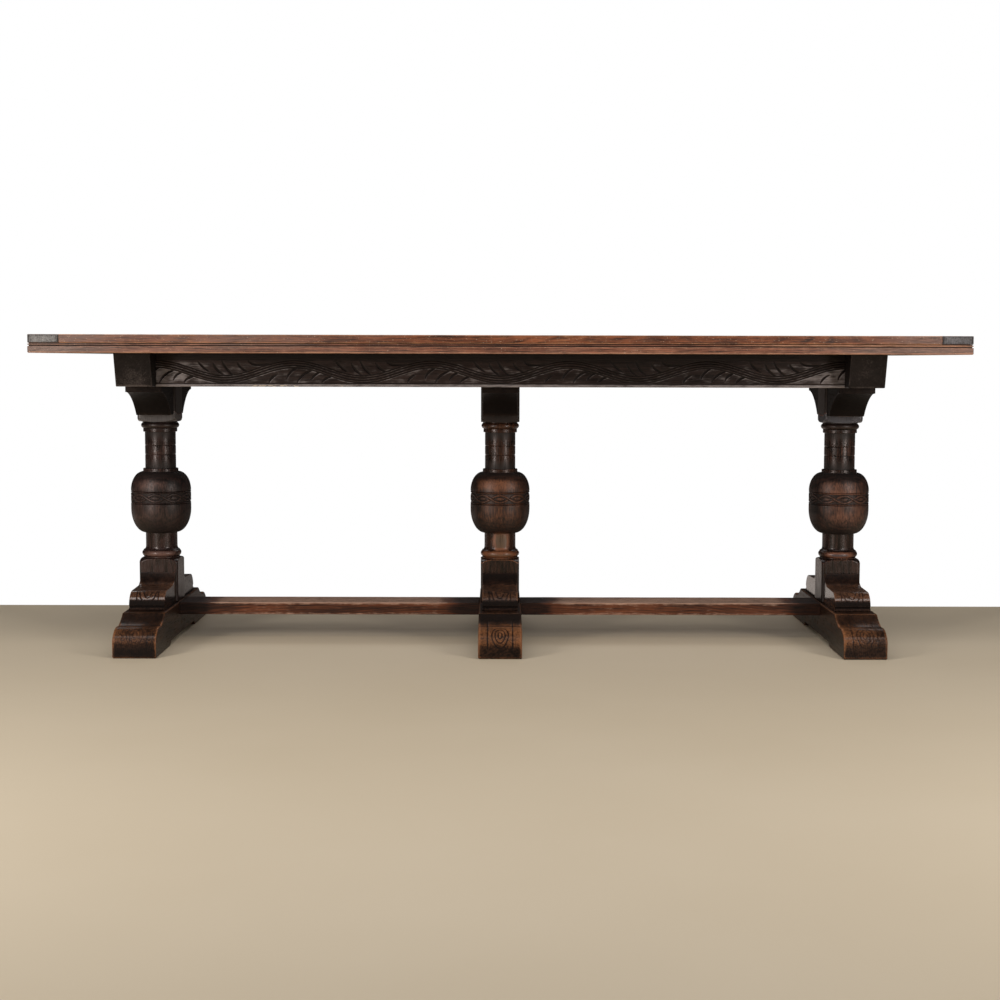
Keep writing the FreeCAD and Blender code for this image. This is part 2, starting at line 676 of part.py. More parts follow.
pieces["foot_left"] = make_foot(TRESTLES["left"], (1,))
pieces["foot_middle"] = make_foot(TRESTLES["middle"], (-1, 1))
pieces["foot_right"] = make_foot(TRESTLES["right"], (-1,))


# Stretcher lengths between the feet, level with their tops

def make_stretcher(start, end):
    plank = box((start, end), (-half_stretcher, half_stretcher), stretcher_levels)
    tenon_ends = grown((start, end), STRETCHER_TENON_LENGTH)
    tenon = box(tenon_ends, (-half_stretcher_tenon, half_stretcher_tenon), stretcher_tenon_levels)
    return plank.fuse(tenon).removeSplitter()


stretcher_far = trestle_spacing - half_foot_width
pieces["stretcher_left"] = make_stretcher(-stretcher_far, -half_foot_width)
pieces["stretcher_right"] = make_stretcher(half_foot_width, stretcher_far)


# Pegs through the column tenons, along X, and up into the stretcher tenons from under the feet

column_peg_places = []
foot_peg_z = FOOT_HEIGHT - FOOT_PEG_DEPTH_SHARE * FOOT_TENON_LENGTH
bearer_peg_z = bearer_bottom + COLUMN_PEG_DEPTH_SHARE * TOP_TENON_LENGTH
for x_middle in TRESTLES.values():
    for peg_y in (-COLUMN_PEG_SPREAD / 2, COLUMN_PEG_SPREAD / 2):
        for half_width, peg_z in ((half_foot_width, foot_peg_z), (half_bearer_width, bearer_peg_z)):
            start = FreeCAD.Vector(x_middle - half_width, peg_y, peg_z)
            column_peg_places.append((start, FreeCAD.Vector(1, 0, 0), 2 * half_width, 0))
foot_names = [f"foot_{trestle}" for trestle in TRESTLES]
bearer_names = [f"bearer_{trestle}" for trestle in TRESTLES]
fix_with_pegs("column_pegs", column_peg_places, PEG_RADIUS, column_names + foot_names + bearer_names)

stretcher_peg_places = []
peg_inset = half_foot_width - STRETCHER_TENON_LENGTH / 2
peg_rise = stretcher_tenon_levels[1] - FOOT_RELIEF
for x_middle, way in ((-trestle_spacing, 1), (0, -1), (0, 1), (trestle_spacing, -1)):
    start = FreeCAD.Vector(x_middle + way * peg_inset, 0, FOOT_RELIEF)
    stretcher_peg_places.append((start, FreeCAD.Vector(0, 0, 1), peg_rise, DEPTH_SLACK))
stretcher_names = ["stretcher_left", "stretcher_right"]
fix_with_pegs("stretcher_pegs", stretcher_peg_places, PEG_RADIUS, foot_names + stretcher_names)


os.makedirs("parts", exist_ok=True)
for name, shape in pieces.items():
    shape.exportStep(f"parts/{name}.step")
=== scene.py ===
import math

import bmesh
import bpy
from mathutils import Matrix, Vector, noise


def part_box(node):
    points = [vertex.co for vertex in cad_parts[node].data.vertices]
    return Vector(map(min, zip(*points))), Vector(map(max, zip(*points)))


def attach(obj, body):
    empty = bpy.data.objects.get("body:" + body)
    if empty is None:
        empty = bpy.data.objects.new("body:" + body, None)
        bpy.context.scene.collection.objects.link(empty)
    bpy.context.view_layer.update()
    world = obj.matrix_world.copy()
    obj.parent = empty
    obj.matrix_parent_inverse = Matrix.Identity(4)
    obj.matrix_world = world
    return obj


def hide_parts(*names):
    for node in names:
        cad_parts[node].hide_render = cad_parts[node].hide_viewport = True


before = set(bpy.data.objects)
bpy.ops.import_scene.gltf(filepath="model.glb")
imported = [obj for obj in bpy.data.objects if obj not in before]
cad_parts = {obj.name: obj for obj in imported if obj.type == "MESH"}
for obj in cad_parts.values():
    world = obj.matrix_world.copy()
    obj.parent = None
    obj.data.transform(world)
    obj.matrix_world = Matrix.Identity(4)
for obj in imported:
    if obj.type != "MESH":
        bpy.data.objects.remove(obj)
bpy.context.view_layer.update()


# Sledge feet: one oak beam each, bandsawn to an ogee at both ends and relieved below to stand on two pads.
# A leaf of nested ovals is cut in each slope. They are stained nearly black, and shoes and brooms have rubbed
# the noses and arrises back to brown oak; they are darker low on the front and at the head of each slope.

trestles = ("left", "middle", "right")
foot_flat_half = 0.235
foot_nose_height = 0.044
foot_turn = (0.2902, 0.068)
foot_round_bow = -0.011
foot_hollow_bow = 0.003
foot_nose_round = 0.008
foot_pad_inner = 0.175
foot_pad_slope = 0.014
foot_relief = 0.010
foot_arris = 0.0035
foot_leaf_middle = 0.146
foot_leaf_ovals = ((0.0195, 0.040), (0.0118, 0.027), (0.0045, 0.013))
foot_leaf_margin = 0.0297
foot_wear = {"left": (0.38, -3.0, 0.25), "middle": (0.70, 2.0, 0.9), "right": (0.40, -6.0, 0.35)}
foot_wax = {"left": 0.2, "middle": 0.0, "right": 0.2}
foot_darkening = {"left": (0.8, 0.4), "middle": (0.2, 1.0), "right": (0.05, 0.1)}
foot_plain_height = 0.003
foot_worn_span = (0.045, 0.085, 0.165, 0.205)
foot_cut_span = (0.03, 0.05, 0.185, 0.195)
foot_front_span = (0.170, 0.192)
foot_top_span = (0.03, 0.065)
foot_edge_span = (0.043, 0.051)
foot_edge_rub = 0.25
leaf_line = 0.0017
leaf_depth = 0.0013
leaf_grime = 1.6
slope_steps = 24
carving_pitch = 0.0016
carving_step = 0.0015
arris_support = 0.004
dent_scale = 17
chip_scale = 47


def tint(red, green, blue):
    """Colour as seen on a screen, 0 to 255, as the shader's own colour."""
    shares = [value / 255 for value in (red, green, blue)]
    linear = [share / 12.92 if share < 0.04045 else ((share + 0.055) / 1.055) ** 2.4 for share in shares]
    return linear + [1.0]


def arc(start, end, bow, steps=12):
    """Points after start, up to end, on the arc bowed to the left of the way."""
    chord = Vector(end) - Vector(start)
    half_angle = 2 * math.atan(2 * bow / chord.length)
    radius = chord.length / (2 * math.sin(half_angle))
    side = Vector((-chord.y, chord.x)) / chord.length
    middle = (Vector(start) + Vector(end)) / 2
    points = []
    for step in range(1, steps + 1):
        angle = half_angle * (2 * step / steps - 1)
        rise = radius * (math.cos(angle) - math.cos(half_angle))
        points.append(tuple(middle + chord.normalized() * radius * math.sin(angle) + side * rise))
    return points


def ease(value, low, high):
    """0 below low, 1 above high, and a soft step between."""
    share = max(0.0, min(1.0, (value - low) / (high - low)))
    return share * share * (3 - 2 * share)


def within(value, start, full, fading, gone):
    """0 outside start and gone, 1 from full to fading, and soft steps between."""
    return ease(value, start, full) * (1 - ease(value, fading, gone))


def bent(start, corner, end, steps):
    """Points of a rounded corner, both ends included."""
    start, corner, end = Vector(start), Vector(corner), Vector(end)
    shares = [step / steps for step in range(steps + 1)]
    return [tuple(start.lerp(corner, share).lerp(corner.lerp(end, share), share)) for share in shares]


def softened(points, radius, support=arris_support, arris_rub=0.5):
    """Outline with its corners rounded over; the third value is how rubbed (1) or grimy (-1) a point is."""
    outline = []
    for here, point in enumerate(points):
        corner = Vector(point)
        before = corner - Vector(points[here - 1])
        after = Vector(points[(here + 1) % len(points)]) - corner
        turn = before.angle_signed(after, 0.0) * -1
        if abs(turn) < 0.35:
            outline.append((*corner, 0.0))
            continue
        cut = min(radius * math.tan(abs(turn) / 2), 0.4 * before.length, 0.4 * after.length)
        start = corner - before.normalized() * cut
        end = corner + after.normalized() * cut
        rub = arris_rub if turn > 0 else -1.0
        if before.length > 3 * (cut + support):
            outline.append((*(start - before.normalized() * support), 0.0))
        outline += [(*spot, rub) for spot in bent(start, corner, end, 4)]
        if after.length > 3 * (cut + support):
            outline.append((*(end + after.normalized() * support), 0.0))
    return outline


def divided(outline, step, longest=0.07):
    """Outline with points added for carving; its long flats are left whole."""
    points = []
    for here, point in enumerate(outline):
        start, end = Vector(point), Vector(outline[(here + 1) % len(outline)])
        length = (end - start).xy.length
        count = max(1, math.ceil(length / step)) if length < longest else 1
        points += [tuple(start.lerp(end, part / count)) for part in range(count)]
    return points


def inward(outline):
    """For each point of an outline, the way into the wood that keeps its sides parallel."""
    ways = []
    for here, point in enumerate(outline):
        before = (Vector(point[:2]) - Vector(outline[here - 1][:2])).normalized()
        after = (Vector(outline[(here + 1) % len(outline)][:2]) - Vector(point[:2])).normalized()
        first = Vector((-before.y, before.x))
        second = Vector((-after.y, after.x))
        ways.append((first + second) / max(1 + first.dot(second), 0.4))
    return ways


def sawn(outline, low, high, arris, place, step=0.02, dent=0.0004, end_rub=0.0, carve=None, rims=None):
    """Rings of a piece cut to an outline, from low to high along its run, with worn, slightly uneven arrises.

    carve gives a depth and a rub for a place, and rims the size and rub of each ring drawn on an end.
    """
    quarter = [(arris * (1 - math.cos(turn)), arris * (1 - math.sin(turn)), 1.0, rub)
               for turn, rub in ((0, end_rub), (0.52, 0.5), (1.05, 0.5), (math.pi / 2, 0.2))]
    if rims:
        quarter[:1] = [(0, arris, size, rub) for size, rub in rims]
    quarter.append((arris + arris_support, 0, 1.0, 0))
    inner = high - low - 2 * quarter[-1][0]
    count = max(1, round(inner / step))
    stations = [(low + run, inset, size, rub) for run, inset, size, rub in quarter]
    stations += [(low + quarter[-1][0] + inner * part / count, 0, 1.0, 0) for part in range(1, count)]
    stations += [(high - run, inset, size, rub) for run, inset, size, rub in reversed(quarter)]
    ways = inward(outline)
    centre = sum((Vector(point[:2]) for point in outline), Vector((0, 0))) / len(outline)
    rings = []
    for run, inset, size, station_rub in stations:
        ring = []
        capped = run in (low, high)
        for (across, up, side_rub), way in zip(outline, ways):
            spot = place(run, across, up)
            rub = station_rub + side_rub if min(station_rub, side_rub) < 0 else max(station_rub, side_rub)
            rub = station_rub if capped else rub
            hollow = dent * (0.5 + 0.5 * noise.noise(spot * dent_scale))
            if rub > 0.5:
                hollow += 5 * dent * max(0, noise.noise(spot * chip_scale) - 0.1)
            cut, wear = carve(run - (low + high) / 2, across, up) if carve and not capped else (0.0, 0.0)
            depth = inset if capped else inset + hollow + cut
            spot = centre + (Vector((across, up)) + way * depth - centre) * size
            ring.append((*place(run, *spot), max(-1.0, min(1.2, rub + wear))))
        rings.append(ring)
    return rings


def leaf_cut_at(across, down, middle, ovals, margin):
    """How near a place is, from 0 to 1, to the cuts of a leaf: nested ovals between two upright lines."""
    share = 1 - abs(abs(across) - margin) / leaf_line
    for half_width, half_length in ovals:
        wide, long = across / half_width, (down - middle) / half_length
        steep = 2 * math.hypot(wide / half_width, long / half_length)
        share = max(share, 1 - abs(wide * wide + long * long - 1) / max(steep, 1.0) / leaf_line)
    return max(0.0, share)


def foot_carving(trestle, top):
    """Carving of a foot's two slopes: depth and rub from the place on it."""
    amount, lean, sharp = foot_wear[trestle]
    front_darkening, top_darkening = foot_darkening[trestle]

    def carving(run, across, up):
        if abs(across) < foot_flat_half or up < foot_plain_height:
            return 0.0, 0.0
        down = abs(across) - foot_flat_half + top - up
        edge = ease(abs(run), *foot_edge_span)
        wear = (amount + lean * run) * within(down, *foot_worn_span)
        # Darker low on the front face, away from the end arrises, and at the head of the slope.
        wear += foot_edge_rub * edge - front_darkening * (1 - edge) * ease(down, *foot_front_span)
        wear -= top_darkening * (1 - ease(down, *foot_top_span))
        cut = sharp * leaf_cut_at(run, down, foot_leaf_middle, foot_leaf_ovals, foot_leaf_margin)
        cut *= within(down, *foot_cut_span)
        return leaf_depth * cut, wear - leaf_grime * cut

    return carving


def along_x(run, across, up):
    return Vector((run, across, up))


def along_y(run, across, up):
    return Vector((across, run, up))


def fit(name, shells, material, slot, *nodes):
    """Piece skinned over rings of (x, y, z, rub), standing for its CAD nodes."""
    points = []
    faces = []
    for rings in shells:
        count = len(rings[0])
        first = len(points)
        for row, ring in enumerate(rings):
            points += ring
            if row:
                start = first + row * count
                for spot in range(count):
                    beside = (spot + 1) % count
                    faces.append((start - count + spot, start - count + beside, start + beside, start + spot))
        faces.append(tuple(range(first + count - 1, first - 1, -1)))
        faces.append(tuple(range(len(points) - count, len(points))))
    mesh = bpy.data.meshes.new(name)
    mesh.from_pydata([point[:3] for point in points], [], faces)
    mesh.attributes.new("rub", "FLOAT", "POINT").data.foreach_set("value", [point[3] for point in points])
    work = bmesh.new()
    work.from_mesh(mesh)
    bmesh.ops.recalc_face_normals(work, faces=work.faces)
    work.to_mesh(mesh)
    work.free()
    mesh.shade_smooth()
    mesh.materials.append(material)
    piece = bpy.data.objects.new(name, mesh)
    bpy.context.scene.collection.objects.link(piece)
    piece.modifiers.new("flat faces", "WEIGHTED_NORMAL").keep_sharp = True
    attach(piece, "root")
    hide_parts(*nodes)
    return piece


class Grain:
    """One socket of a finish: sums with it add Math nodes, and node() adds any other node."""

    def __init__(self, socket):
        self.socket = socket

    def node(self, kind, settings, sockets, out=0):
        made = self.socket.id_data.nodes.new(kind)
        for key, value in settings.items():
            setattr(made, key, value)
        for key, value in sockets.items():
            if isinstance(value, Grain):
                self.socket.id_data.links.new(value.socket, made.inputs[key])
            else:
                made.inputs[key].default_value = value
        return Grain(made.outputs[out])

    def sum(self, operation, first, second):
        return self.node("ShaderNodeMath", {"operation": operation}, {0: first, 1: second})

    def __add__(self, other):
        return self.sum("ADD", self, other)

    def __sub__(self, other):
        return self.sum("SUBTRACT", self, other)

    def __rsub__(self, other):
        return self.sum("SUBTRACT", other, self)

    def __mul__(self, other):
        return self.sum("MULTIPLY", self, other)

    __radd__ = __add__
    __rmul__ = __mul__

    def between(self, low, high):
        """0 below low, 1 above high, and a soft step between."""
        sockets = {"Value": self, "From Min": low, "From Max": high}
        return self.node("ShaderNodeMapRange", {"interpolation_type": "SMOOTHSTEP"}, sockets)

    def mix(self, first, second):
        """Colour from first to second as this value goes from 0 to 1."""
        return self.node("ShaderNodeMix", {"data_type": "RGBA"}, {0: self, 6: first, 7: second}, 2)

    def moved(self, operation, second):
        return self.node("ShaderNodeVectorMath", {"operation": operation}, {0: self, 1: second})

    def axis(self, number):
        return self.node("ShaderNodeSeparateXYZ", {}, {0: self}, number)

    def feed(self, shader, name):
        self.socket.id_data.links.new(self.socket, shader.inputs[name])

    def cloud(self, scale, detail=3.0, rough=0.55):
        """Noise over this place."""
        sockets = {"Vector": self, "Scale": scale, "Detail": detail, "Roughness": rough}
        return self.node("ShaderNodeTexNoise", {}, sockets)


def started(name):
    """New material, its shader, and the place on a piece to draw its figure from."""
    material = bpy.data.materials.new(name)
    material.use_nodes = True
    nodes = material.node_tree.nodes
    return material, nodes["Principled BSDF"], Grain(nodes.new("ShaderNodeTexCoord").outputs["Object"])


def oak(name, way, dark, warm, rubbed, patchy=0.3, polish=0.42, pith=(0.05, 0.04, -0.09), shine=0.4,
        tooth=0.35, grain=(5.0, 150.0), coat=0.0, faded=None, bloom_and_sheen=None, dull=None):
    """Stained and waxed oak whose grain runs along one axis.

    The stain goes from dark to warm with the grain, to rubbed where it is worn or a highlight is painted, to
    the bloom and sheen colour where wax has gone pale or a sheen is painted, and to faded in bleached
    streaks; it is less polished between the two levels of dull. Below zero, rub takes it towards near black,
    as grime and as painted shade.
    """
    material, shader, place = started(name)
    piece = place.node("ShaderNodeObjectInfo", {}, {}, "Random")
    rub = place.node("ShaderNodeAttribute", {"attribute_name": "rub"}, {}, "Fac")
    shift = place.node("ShaderNodeCombineXYZ", {}, {0: piece * 3.1, 1: piece * 7.3, 2: piece * 5.7})
    log = place.moved("ADD", shift)

    def stretch(along, across):
        return [along if axis == way else across for axis in "XYZ"]

    def figure(along, across, *cloud, start=log):
        return start.moved("MULTIPLY", stretch(along, across)).cloud(1.0, *cloud)

    fibre = figure(*grain, 4.0, 0.65)
    pore = figure(28.0, 800.0, 2.0)
    patch = figure(3.0, 9.0, 4.0, 0.6)
    waver = figure(2.0, 7.0, 2.0)
    knock = log.cloud(60.0, 3.0, 0.6)
    chip = figure(40.0, 320.0, 3.0, 0.6)
    heart = place.moved("SUBTRACT", pith).moved("MULTIPLY", stretch(0.15, 1.0))
    distance = heart.node("ShaderNodeVectorMath", {"operation": "LENGTH"}, {0: heart}, 1)
    angle = (distance + waver * 0.05) * 1250.0
    line = angle.node("ShaderNodeMath", {"operation": "SINE"}, {0: angle}).between(0.2, 1.0)
    pores = pore.between(0.54, 0.64)

    tone = patch.between(0.5 - patchy / 2, 0.5 + patchy / 2) * 0.5
    tone = tone + fibre.between(0.36, 0.64) * 0.6 - line * 0.3
    colour = tone.mix(dark, warm)
    if faded:
        run = place.axis(0)
        streak = figure(2.5, 12.0, 3.0, start=place)
        bleach = run * run * 0.6 - run * 0.15 + (streak - 0.5) * 1.6
        colour = (bleach.between(0.0, 0.8) * 0.8).mix(colour, faded)
    worn = (rub + (knock - 0.5) * 0.8 + (chip - 0.5) * 1.5 + (patch - 0.5) * 0.8).between(0.05, 1.2)
    colour = worn.mix(colour, rubbed)
    if faded:
        fleck = figure(240.0, 640.0, 2.0).between(0.66, 0.72)
        colour = (fleck * 0.7).mix(colour, tint(214, 190, 160))
    if bloom_and_sheen:
        colour = rub.between(1.2, 1.8).mix(colour, bloom_and_sheen)
    # Negative rub: grime, and painted shade where the pieces are darkened for it.
    grime_and_shade = (0.0 - rub).between(0.05, 1.0)
    colour = (pores * 0.55 + grime_and_shade * 0.8).mix(colour, tint(12, 8, 6))
    colour.feed(shader, "Base Color")
    gloss = polish + (fibre - 0.5) * 0.16 + pores * 0.15 + grime_and_shade * 0.3 + worn * 0.06
    if dull:
        level = place.axis(2)
        above_foot = level.between(dull[0] - 0.003, dull[0])
        gloss = gloss + above_foot * (1 - level.between(dull[1], dull[1] + 0.003)) * 0.16
    gloss.feed(shader, "Roughness")
    shader.inputs["Specular Tint"].default_value = (1.0, 0.86, 0.80, 1.0)
    shader.inputs["Specular IOR Level"].default_value = shine
    if coat:
        (rub.between(0.0, 0.25) * coat).feed(shader, "Coat Weight")
    shader.inputs["Coat Roughness"].default_value = 0.14
    height = fibre * 0.35 - pores * 0.5 - line * 0.12 + knock * 0.8
    bump = height.node("ShaderNodeBump", {}, {"Strength": tooth, "Distance": 0.0006, "Height": height})
    bump.feed(shader, "Normal")
    return material


for trestle in trestles:
    foot_oak = oak(f"{trestle} foot oak", "Y", tint(17, 11, 9), tint(56, 36, 25), tint(130, 84, 53),
                   polish=0.36, shine=0.15, tooth=0.3, coat=foot_wax[trestle])
    low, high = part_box(f"foot_{trestle}")
    nose = (high.y, foot_nose_height)
    slope = arc(nose, foot_turn, foot_round_bow, slope_steps)[3:]
    half = [(foot_pad_inner - foot_pad_slope, foot_relief), (foot_pad_inner, 0), (high.y, 0)]
    half += bent((high.y, foot_nose_height - foot_nose_round), nose, slope[0], 6) + slope[1:]
    half += arc(foot_turn, (foot_flat_half, high.z), foot_hollow_bow)
    outline = softened(half + [(-across, up) for across, up in reversed(half)], 1.5 * foot_arris)
    rings = sawn(divided(outline, carving_pitch), low.x, high.x, foot_arris, along_x, carving_step,
                 carve=foot_carving(trestle, high.z))
    fit(f"sledge_foot_{trestle}", [rings], foot_oak, "foot_oak", f"foot_{trestle}")


# Stretchers: two planed oak lengths between the feet, tenoned into their sides level with the tops.
# Shoes have worn their tops bare and their arrises red-brown; dirt and painted shade darken them by the feet.

stretcher_half_width = 0.055
stretcher_thickness = 0.031
stretcher_arris = 0.003
stretcher_end_arris = 0.0005
stretcher_tread = 0.8
stretcher_end_dirt_and_shade = 1.5
stretcher_end_span = (0.11, 0.03)
stretcher_oak = oak("stretcher oak", "X", tint(46, 24, 15), tint(116, 64, 39), tint(190, 150, 126),
                    polish=0.40, shine=0.3)


def oblong(left, right, low, high):
    return [(left, low), (right, low), (right, high), (left, high)]


def stretcher_wear(half_length, top):
    """Wear of a stretcher: no depth, and rub from the place on it, with dirt and painted shade at its ends.
    """
    start, full = (half_length - inset for inset in stretcher_end_span)

    def wear(run, across, up):
        trodden = stretcher_tread if up > top - 0.001 else 0.0
        # Dirt and painted shade darken the ends where they meet the feet.
        darkening = ease(abs(run), start, full)
        return 0.0, trodden * (1 - darkening) - stretcher_end_dirt_and_shade * darkening

    return wear


for side, (start, end) in {"left": ("left", "middle"), "right": ("middle", "right")}.items():
    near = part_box(f"foot_{start}")[1]
    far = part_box(f"foot_{end}")[0]
    corners = oblong(-stretcher_half_width, stretcher_half_width, near.z - stretcher_thickness, near.z)
    rings = sawn(softened(corners, stretcher_arris), near.x, far.x, stretcher_end_arris, along_x,
                 carve=stretcher_wear((far.x - near.x) / 2, near.z))
    fit(f"stretcher_length_{side}", [rings], stretcher_oak, "stretcher_oak", f"stretcher_{side}")


# Columns: cup-and-cover turnings, each from one oak billet, with a square block left at both ends.
# The lathe has rounded the blocks' shoulders and cut the lines; the interlaced band on the bulb is carved
# by hand. Knees and polish have worn the bulbs, and the wax has gone pale on some rings and necks.
# Painted shade darkens the bulbs' sides and the turnings where they face up or down by the collars and rings,
# and a grey painted sheen lies on the upper blocks' shoulders and the right column's lower ring.

block_half = 0.0485
block_shoulder = 0.018
block_arris = 0.0025
block_shares = (0.0, 0.03, 0.5, 0.78, 0.82, 0.98)
block_bite = 0.002
block_points = 160
shoulder_steps = 10
corbel_half_width = 0.0435
lower_block = (0.092, 0.201)
upper_block = (0.548, 0.640)
lower_torus = (0.205, 0.222, 0.049)
upper_torus = (0.531, 0.546, 0.0477)
torus_seat = 0.004
upper_seat_radius = 0.044
lower_spring_radius = 0.046
lower_spring_top = 0.231
lower_neck_radius = 0.0395
lower_neck_middle = 0.2485
upper_neck_radius = 0.0385
bulb_radius = 0.0752
bulb_levels = (0.266, 0.328, 0.3737, 0.421)
bulb_lines = (0.3413, 0.3722)
neck_lines = (0.4643, 0.4876)
line_half_width = 0.0013
line_depth = 0.0014
collar = (0.421, 0.429, 0.044)
fillet = (0.522, 0.531, 0.0425)
guilloche_eyes = 10
guilloche_swing = 0.0088
ribbon_half_width = 0.0027
ribbon_height = 0.0020
boss_half_length = 0.012
boss_half_height = 0.0042
relief_slope = 0.0010
band_margin = 0.0036
band_rows = 46
band_points = 640
turning_points = 128
tool_ripple = 0.00015
patch_fade = 0.018
column_stains = {
    "left": (tint(8, 5, 5), tint(56, 38, 34), tint(108, 78, 68)),
    "middle": (tint(11, 7, 5), tint(64, 39, 28), tint(126, 78, 51)),
    "right": (tint(12, 8, 7), tint(68, 45, 38), tint(126, 82, 62)),
}
# Bloom colours: pale wax on the middle column, a grey painted sheen on the left and right.
column_bloom_and_sheen = {"left": tint(82, 78, 77), "middle": tint(94, 75, 58), "right": tint(66, 66, 71)}
# Patches: middle angle, half width, lowest and highest level, amount. Past 1.2 they take the bloom and sheen
# colour, pale wax on the middle column and a painted highlight on the right one's lower ring; the negative
# ones darken the ring below the upper block all round.
column_patches = {
    "left": ((-0.2, 0.8, 0.370, 0.410, 0.5), (-0.1, 1.2, 0.290, 0.345, 0.25), (0.1, 0.7, 0.462, 0.490, 0.9),
             (0.0, 1.2, 0.198, 0.228, 0.9), (0.0, 4.0, 0.515, 0.562, -0.7)),
    "middle": ((-0.2, 1.1, 0.370, 0.416, 0.80), (0.0, 1.2, 0.275, 0.345, 0.30),
               (0.08, 0.75, 0.215, 0.280, 1.90), (0.0, 1.5, 0.196, 0.228, 1.4),
               (0.0, 1.3, 0.328, 0.386, 0.20)),
    "right": ((0.1, 1.3, 0.270, 0.345, 0.50), (-0.1, 1.2, 0.360, 0.412, 0.55), (0.3, 0.6, 0.462, 0.490, 1.4),
              (-0.1, 1.0, 0.198, 0.228, 1.6), (0.0, 4.0, 0.515, 0.562, -0.8), (0.1, 1.3, 0.328, 0.386, 0.30)),
}
# Upper shoulders: a grey painted sheen on the left and right, painted shade on the middle.
shoulder_sheen_and_shade = {"left": 1.8, "middle": -1.0, "right": 1.8}
crease_blooms = {"left": 0.5, "middle": 1.6, "right": 0.7}
lower_shoulder_rub = -0.1
upper_block_darkening = 0.8
column_painted_shade = ((0.312, 0.266), (0.396, 0.421), (0.440, 0.429), (0.512, 0.522))


def oval(start, end, flat_first, steps=14):
    """Points after start, up to end, on a quarter oval that leaves start level or upright."""
    points = []
    for step in range(1, steps + 1):
        turn = math.pi / 2 * step / steps
        early, late = math.sin(turn), 1 - math.cos(turn)
        level, upright = (early, late) if flat_first else (late, early)
        points.append((start[0] + (end[0] - start[0]) * level, start[1] + (end[1] - start[1]) * upright))
    return points


def roll(torus, steps=12):
    """Half round of a turned ring from its lower to its upper quirk."""
    low, high, radius = torus
    half = (high - low) / 2
    core = radius - half
    turns = [math.pi * (step / steps - 0.5) for step in range(steps + 1)]
    return [(core + half * math.cos(turn), low + half + half * math.sin(turn)) for turn in turns]


def line_cut(radius, level):
    low, high = level - line_half_width, level + line_half_width
    return [(radius, low), (radius - line_depth, level), (radius, high)]


def eased(profile, reach=0.0007):
    """Turned outline with every sharp corner broken, as a tool and years of polish leave it."""
    points = [profile[0]]
    for before, here, after in zip(profile, profile[1:], profile[2:]):
        back = Vector(before) - Vector(here)
        on = Vector(after) - Vector(here)
        if back.length < 1e-6 or on.length < 1e-6:
            continue
        if back.angle(on) > 2.7:
            points.append(here)
            continue
        first = Vector(here) + back.normalized() * min(reach, 0.4 * back.length)
        last = Vector(here) + on.normalized() * min(reach, 0.4 * on.length)
        points += [tuple(first), tuple(first.lerp(Vector(here), 0.6).lerp(last, 0.3)), tuple(last)]
    return points + [profile[-1]]


def column_wear(trestle, turn, level):
    """How rubbed a turning is where knees have met it or a sheen is painted, less painted shade where it
    faces up or down and on the bulb's sides.
    """
    wear = 0.0
    for middle, half, low, high, amount in column_patches[trestle]:
        swing = abs((turn - middle + math.pi) % (2 * math.pi) - math.pi)
        span = within(level, low, low + patch_fade, high - patch_fade, high)
        wear += amount * (1 - ease(swing, 0.3 * half, half)) * span
    # Painted shade where the turning faces up or down by the collars and rings.
    for start, end in column_painted_shade:
        if min(start, end) <= level <= max(start, end):
            wear -= 0.9 * ease((level - start) / (end - start), 0.0, 1.0)
    # Painted shade on the bulb's left and right sides.
    if bulb_levels[0] < level < bulb_levels[3]:
        wear -= 0.6 * ease(abs(math.sin(turn)), 0.7, 1.0)
    return wear


def turned(profile, x_middle, count, trestle, relief=None):
    """Rings of a turning; relief gives a carved depth and how rubbed it is from angle and height."""
    rings = []
    for here, (radius, level) in enumerate(profile):
        before = Vector(profile[max(here - 1, 0)])
        after = Vector(profile[min(here + 1, len(profile) - 1)])
        on = (after - before).normalized()
        bulge = (Vector((radius, level)) - (before + after) / 2).dot(Vector((on.y, -on.x)))
        edge = max(-1, min(0.6, bulge / 0.0010))
        ring = []
        for part in range(count):
            turn = 2 * math.pi * part / count
            depth, rub = relief(turn, level) if relief else (0.0, edge)
            ripple = noise.noise(Vector((3 * math.cos(turn), 3 * math.sin(turn), level * 25)))
            reach = radius - depth - tool_ripple * ripple
            rub = max(-1, min(1.8, rub + column_wear(trestle, turn, level)))
            ring.append((x_middle + reach * math.sin(turn), -reach * math.cos(turn), level, rub))
        rings.append(ring)
    return rings


def guilloche(turn, level):
    """Two interlaced ribbons round a boss in every eye, on a sunk ground."""
    middle = (bulb_lines[0] + bulb_lines[1]) / 2
    phase = guilloche_eyes / 2 * turn
    swing = guilloche_swing * math.cos(phase)
    slope = guilloche_swing / bulb_radius * guilloche_eyes / 2 * math.sin(phase)
    gaps = [abs(level - middle - way * swing) / math.hypot(1, slope) for way in (1, -1)]
    over, under = gaps if math.sin(phase) > 0 else reversed(gaps)
    gap = over if over < ribbon_half_width + 0.0008 else under
    eye = 2 * math.pi / guilloche_eyes
    along = ((turn + eye / 2) % eye - eye / 2) * bulb_radius / boss_half_length
    boss = boss_half_height * (1 - along * along) - abs(level - middle)
    margin = band_margin - min(level - bulb_lines[0], bulb_lines[1] - level)
    height = ease(max(ribbon_half_width - gap, boss, margin), 0.0, relief_slope)
    return ribbon_height * (1 - height), 0.75 * height - 0.5


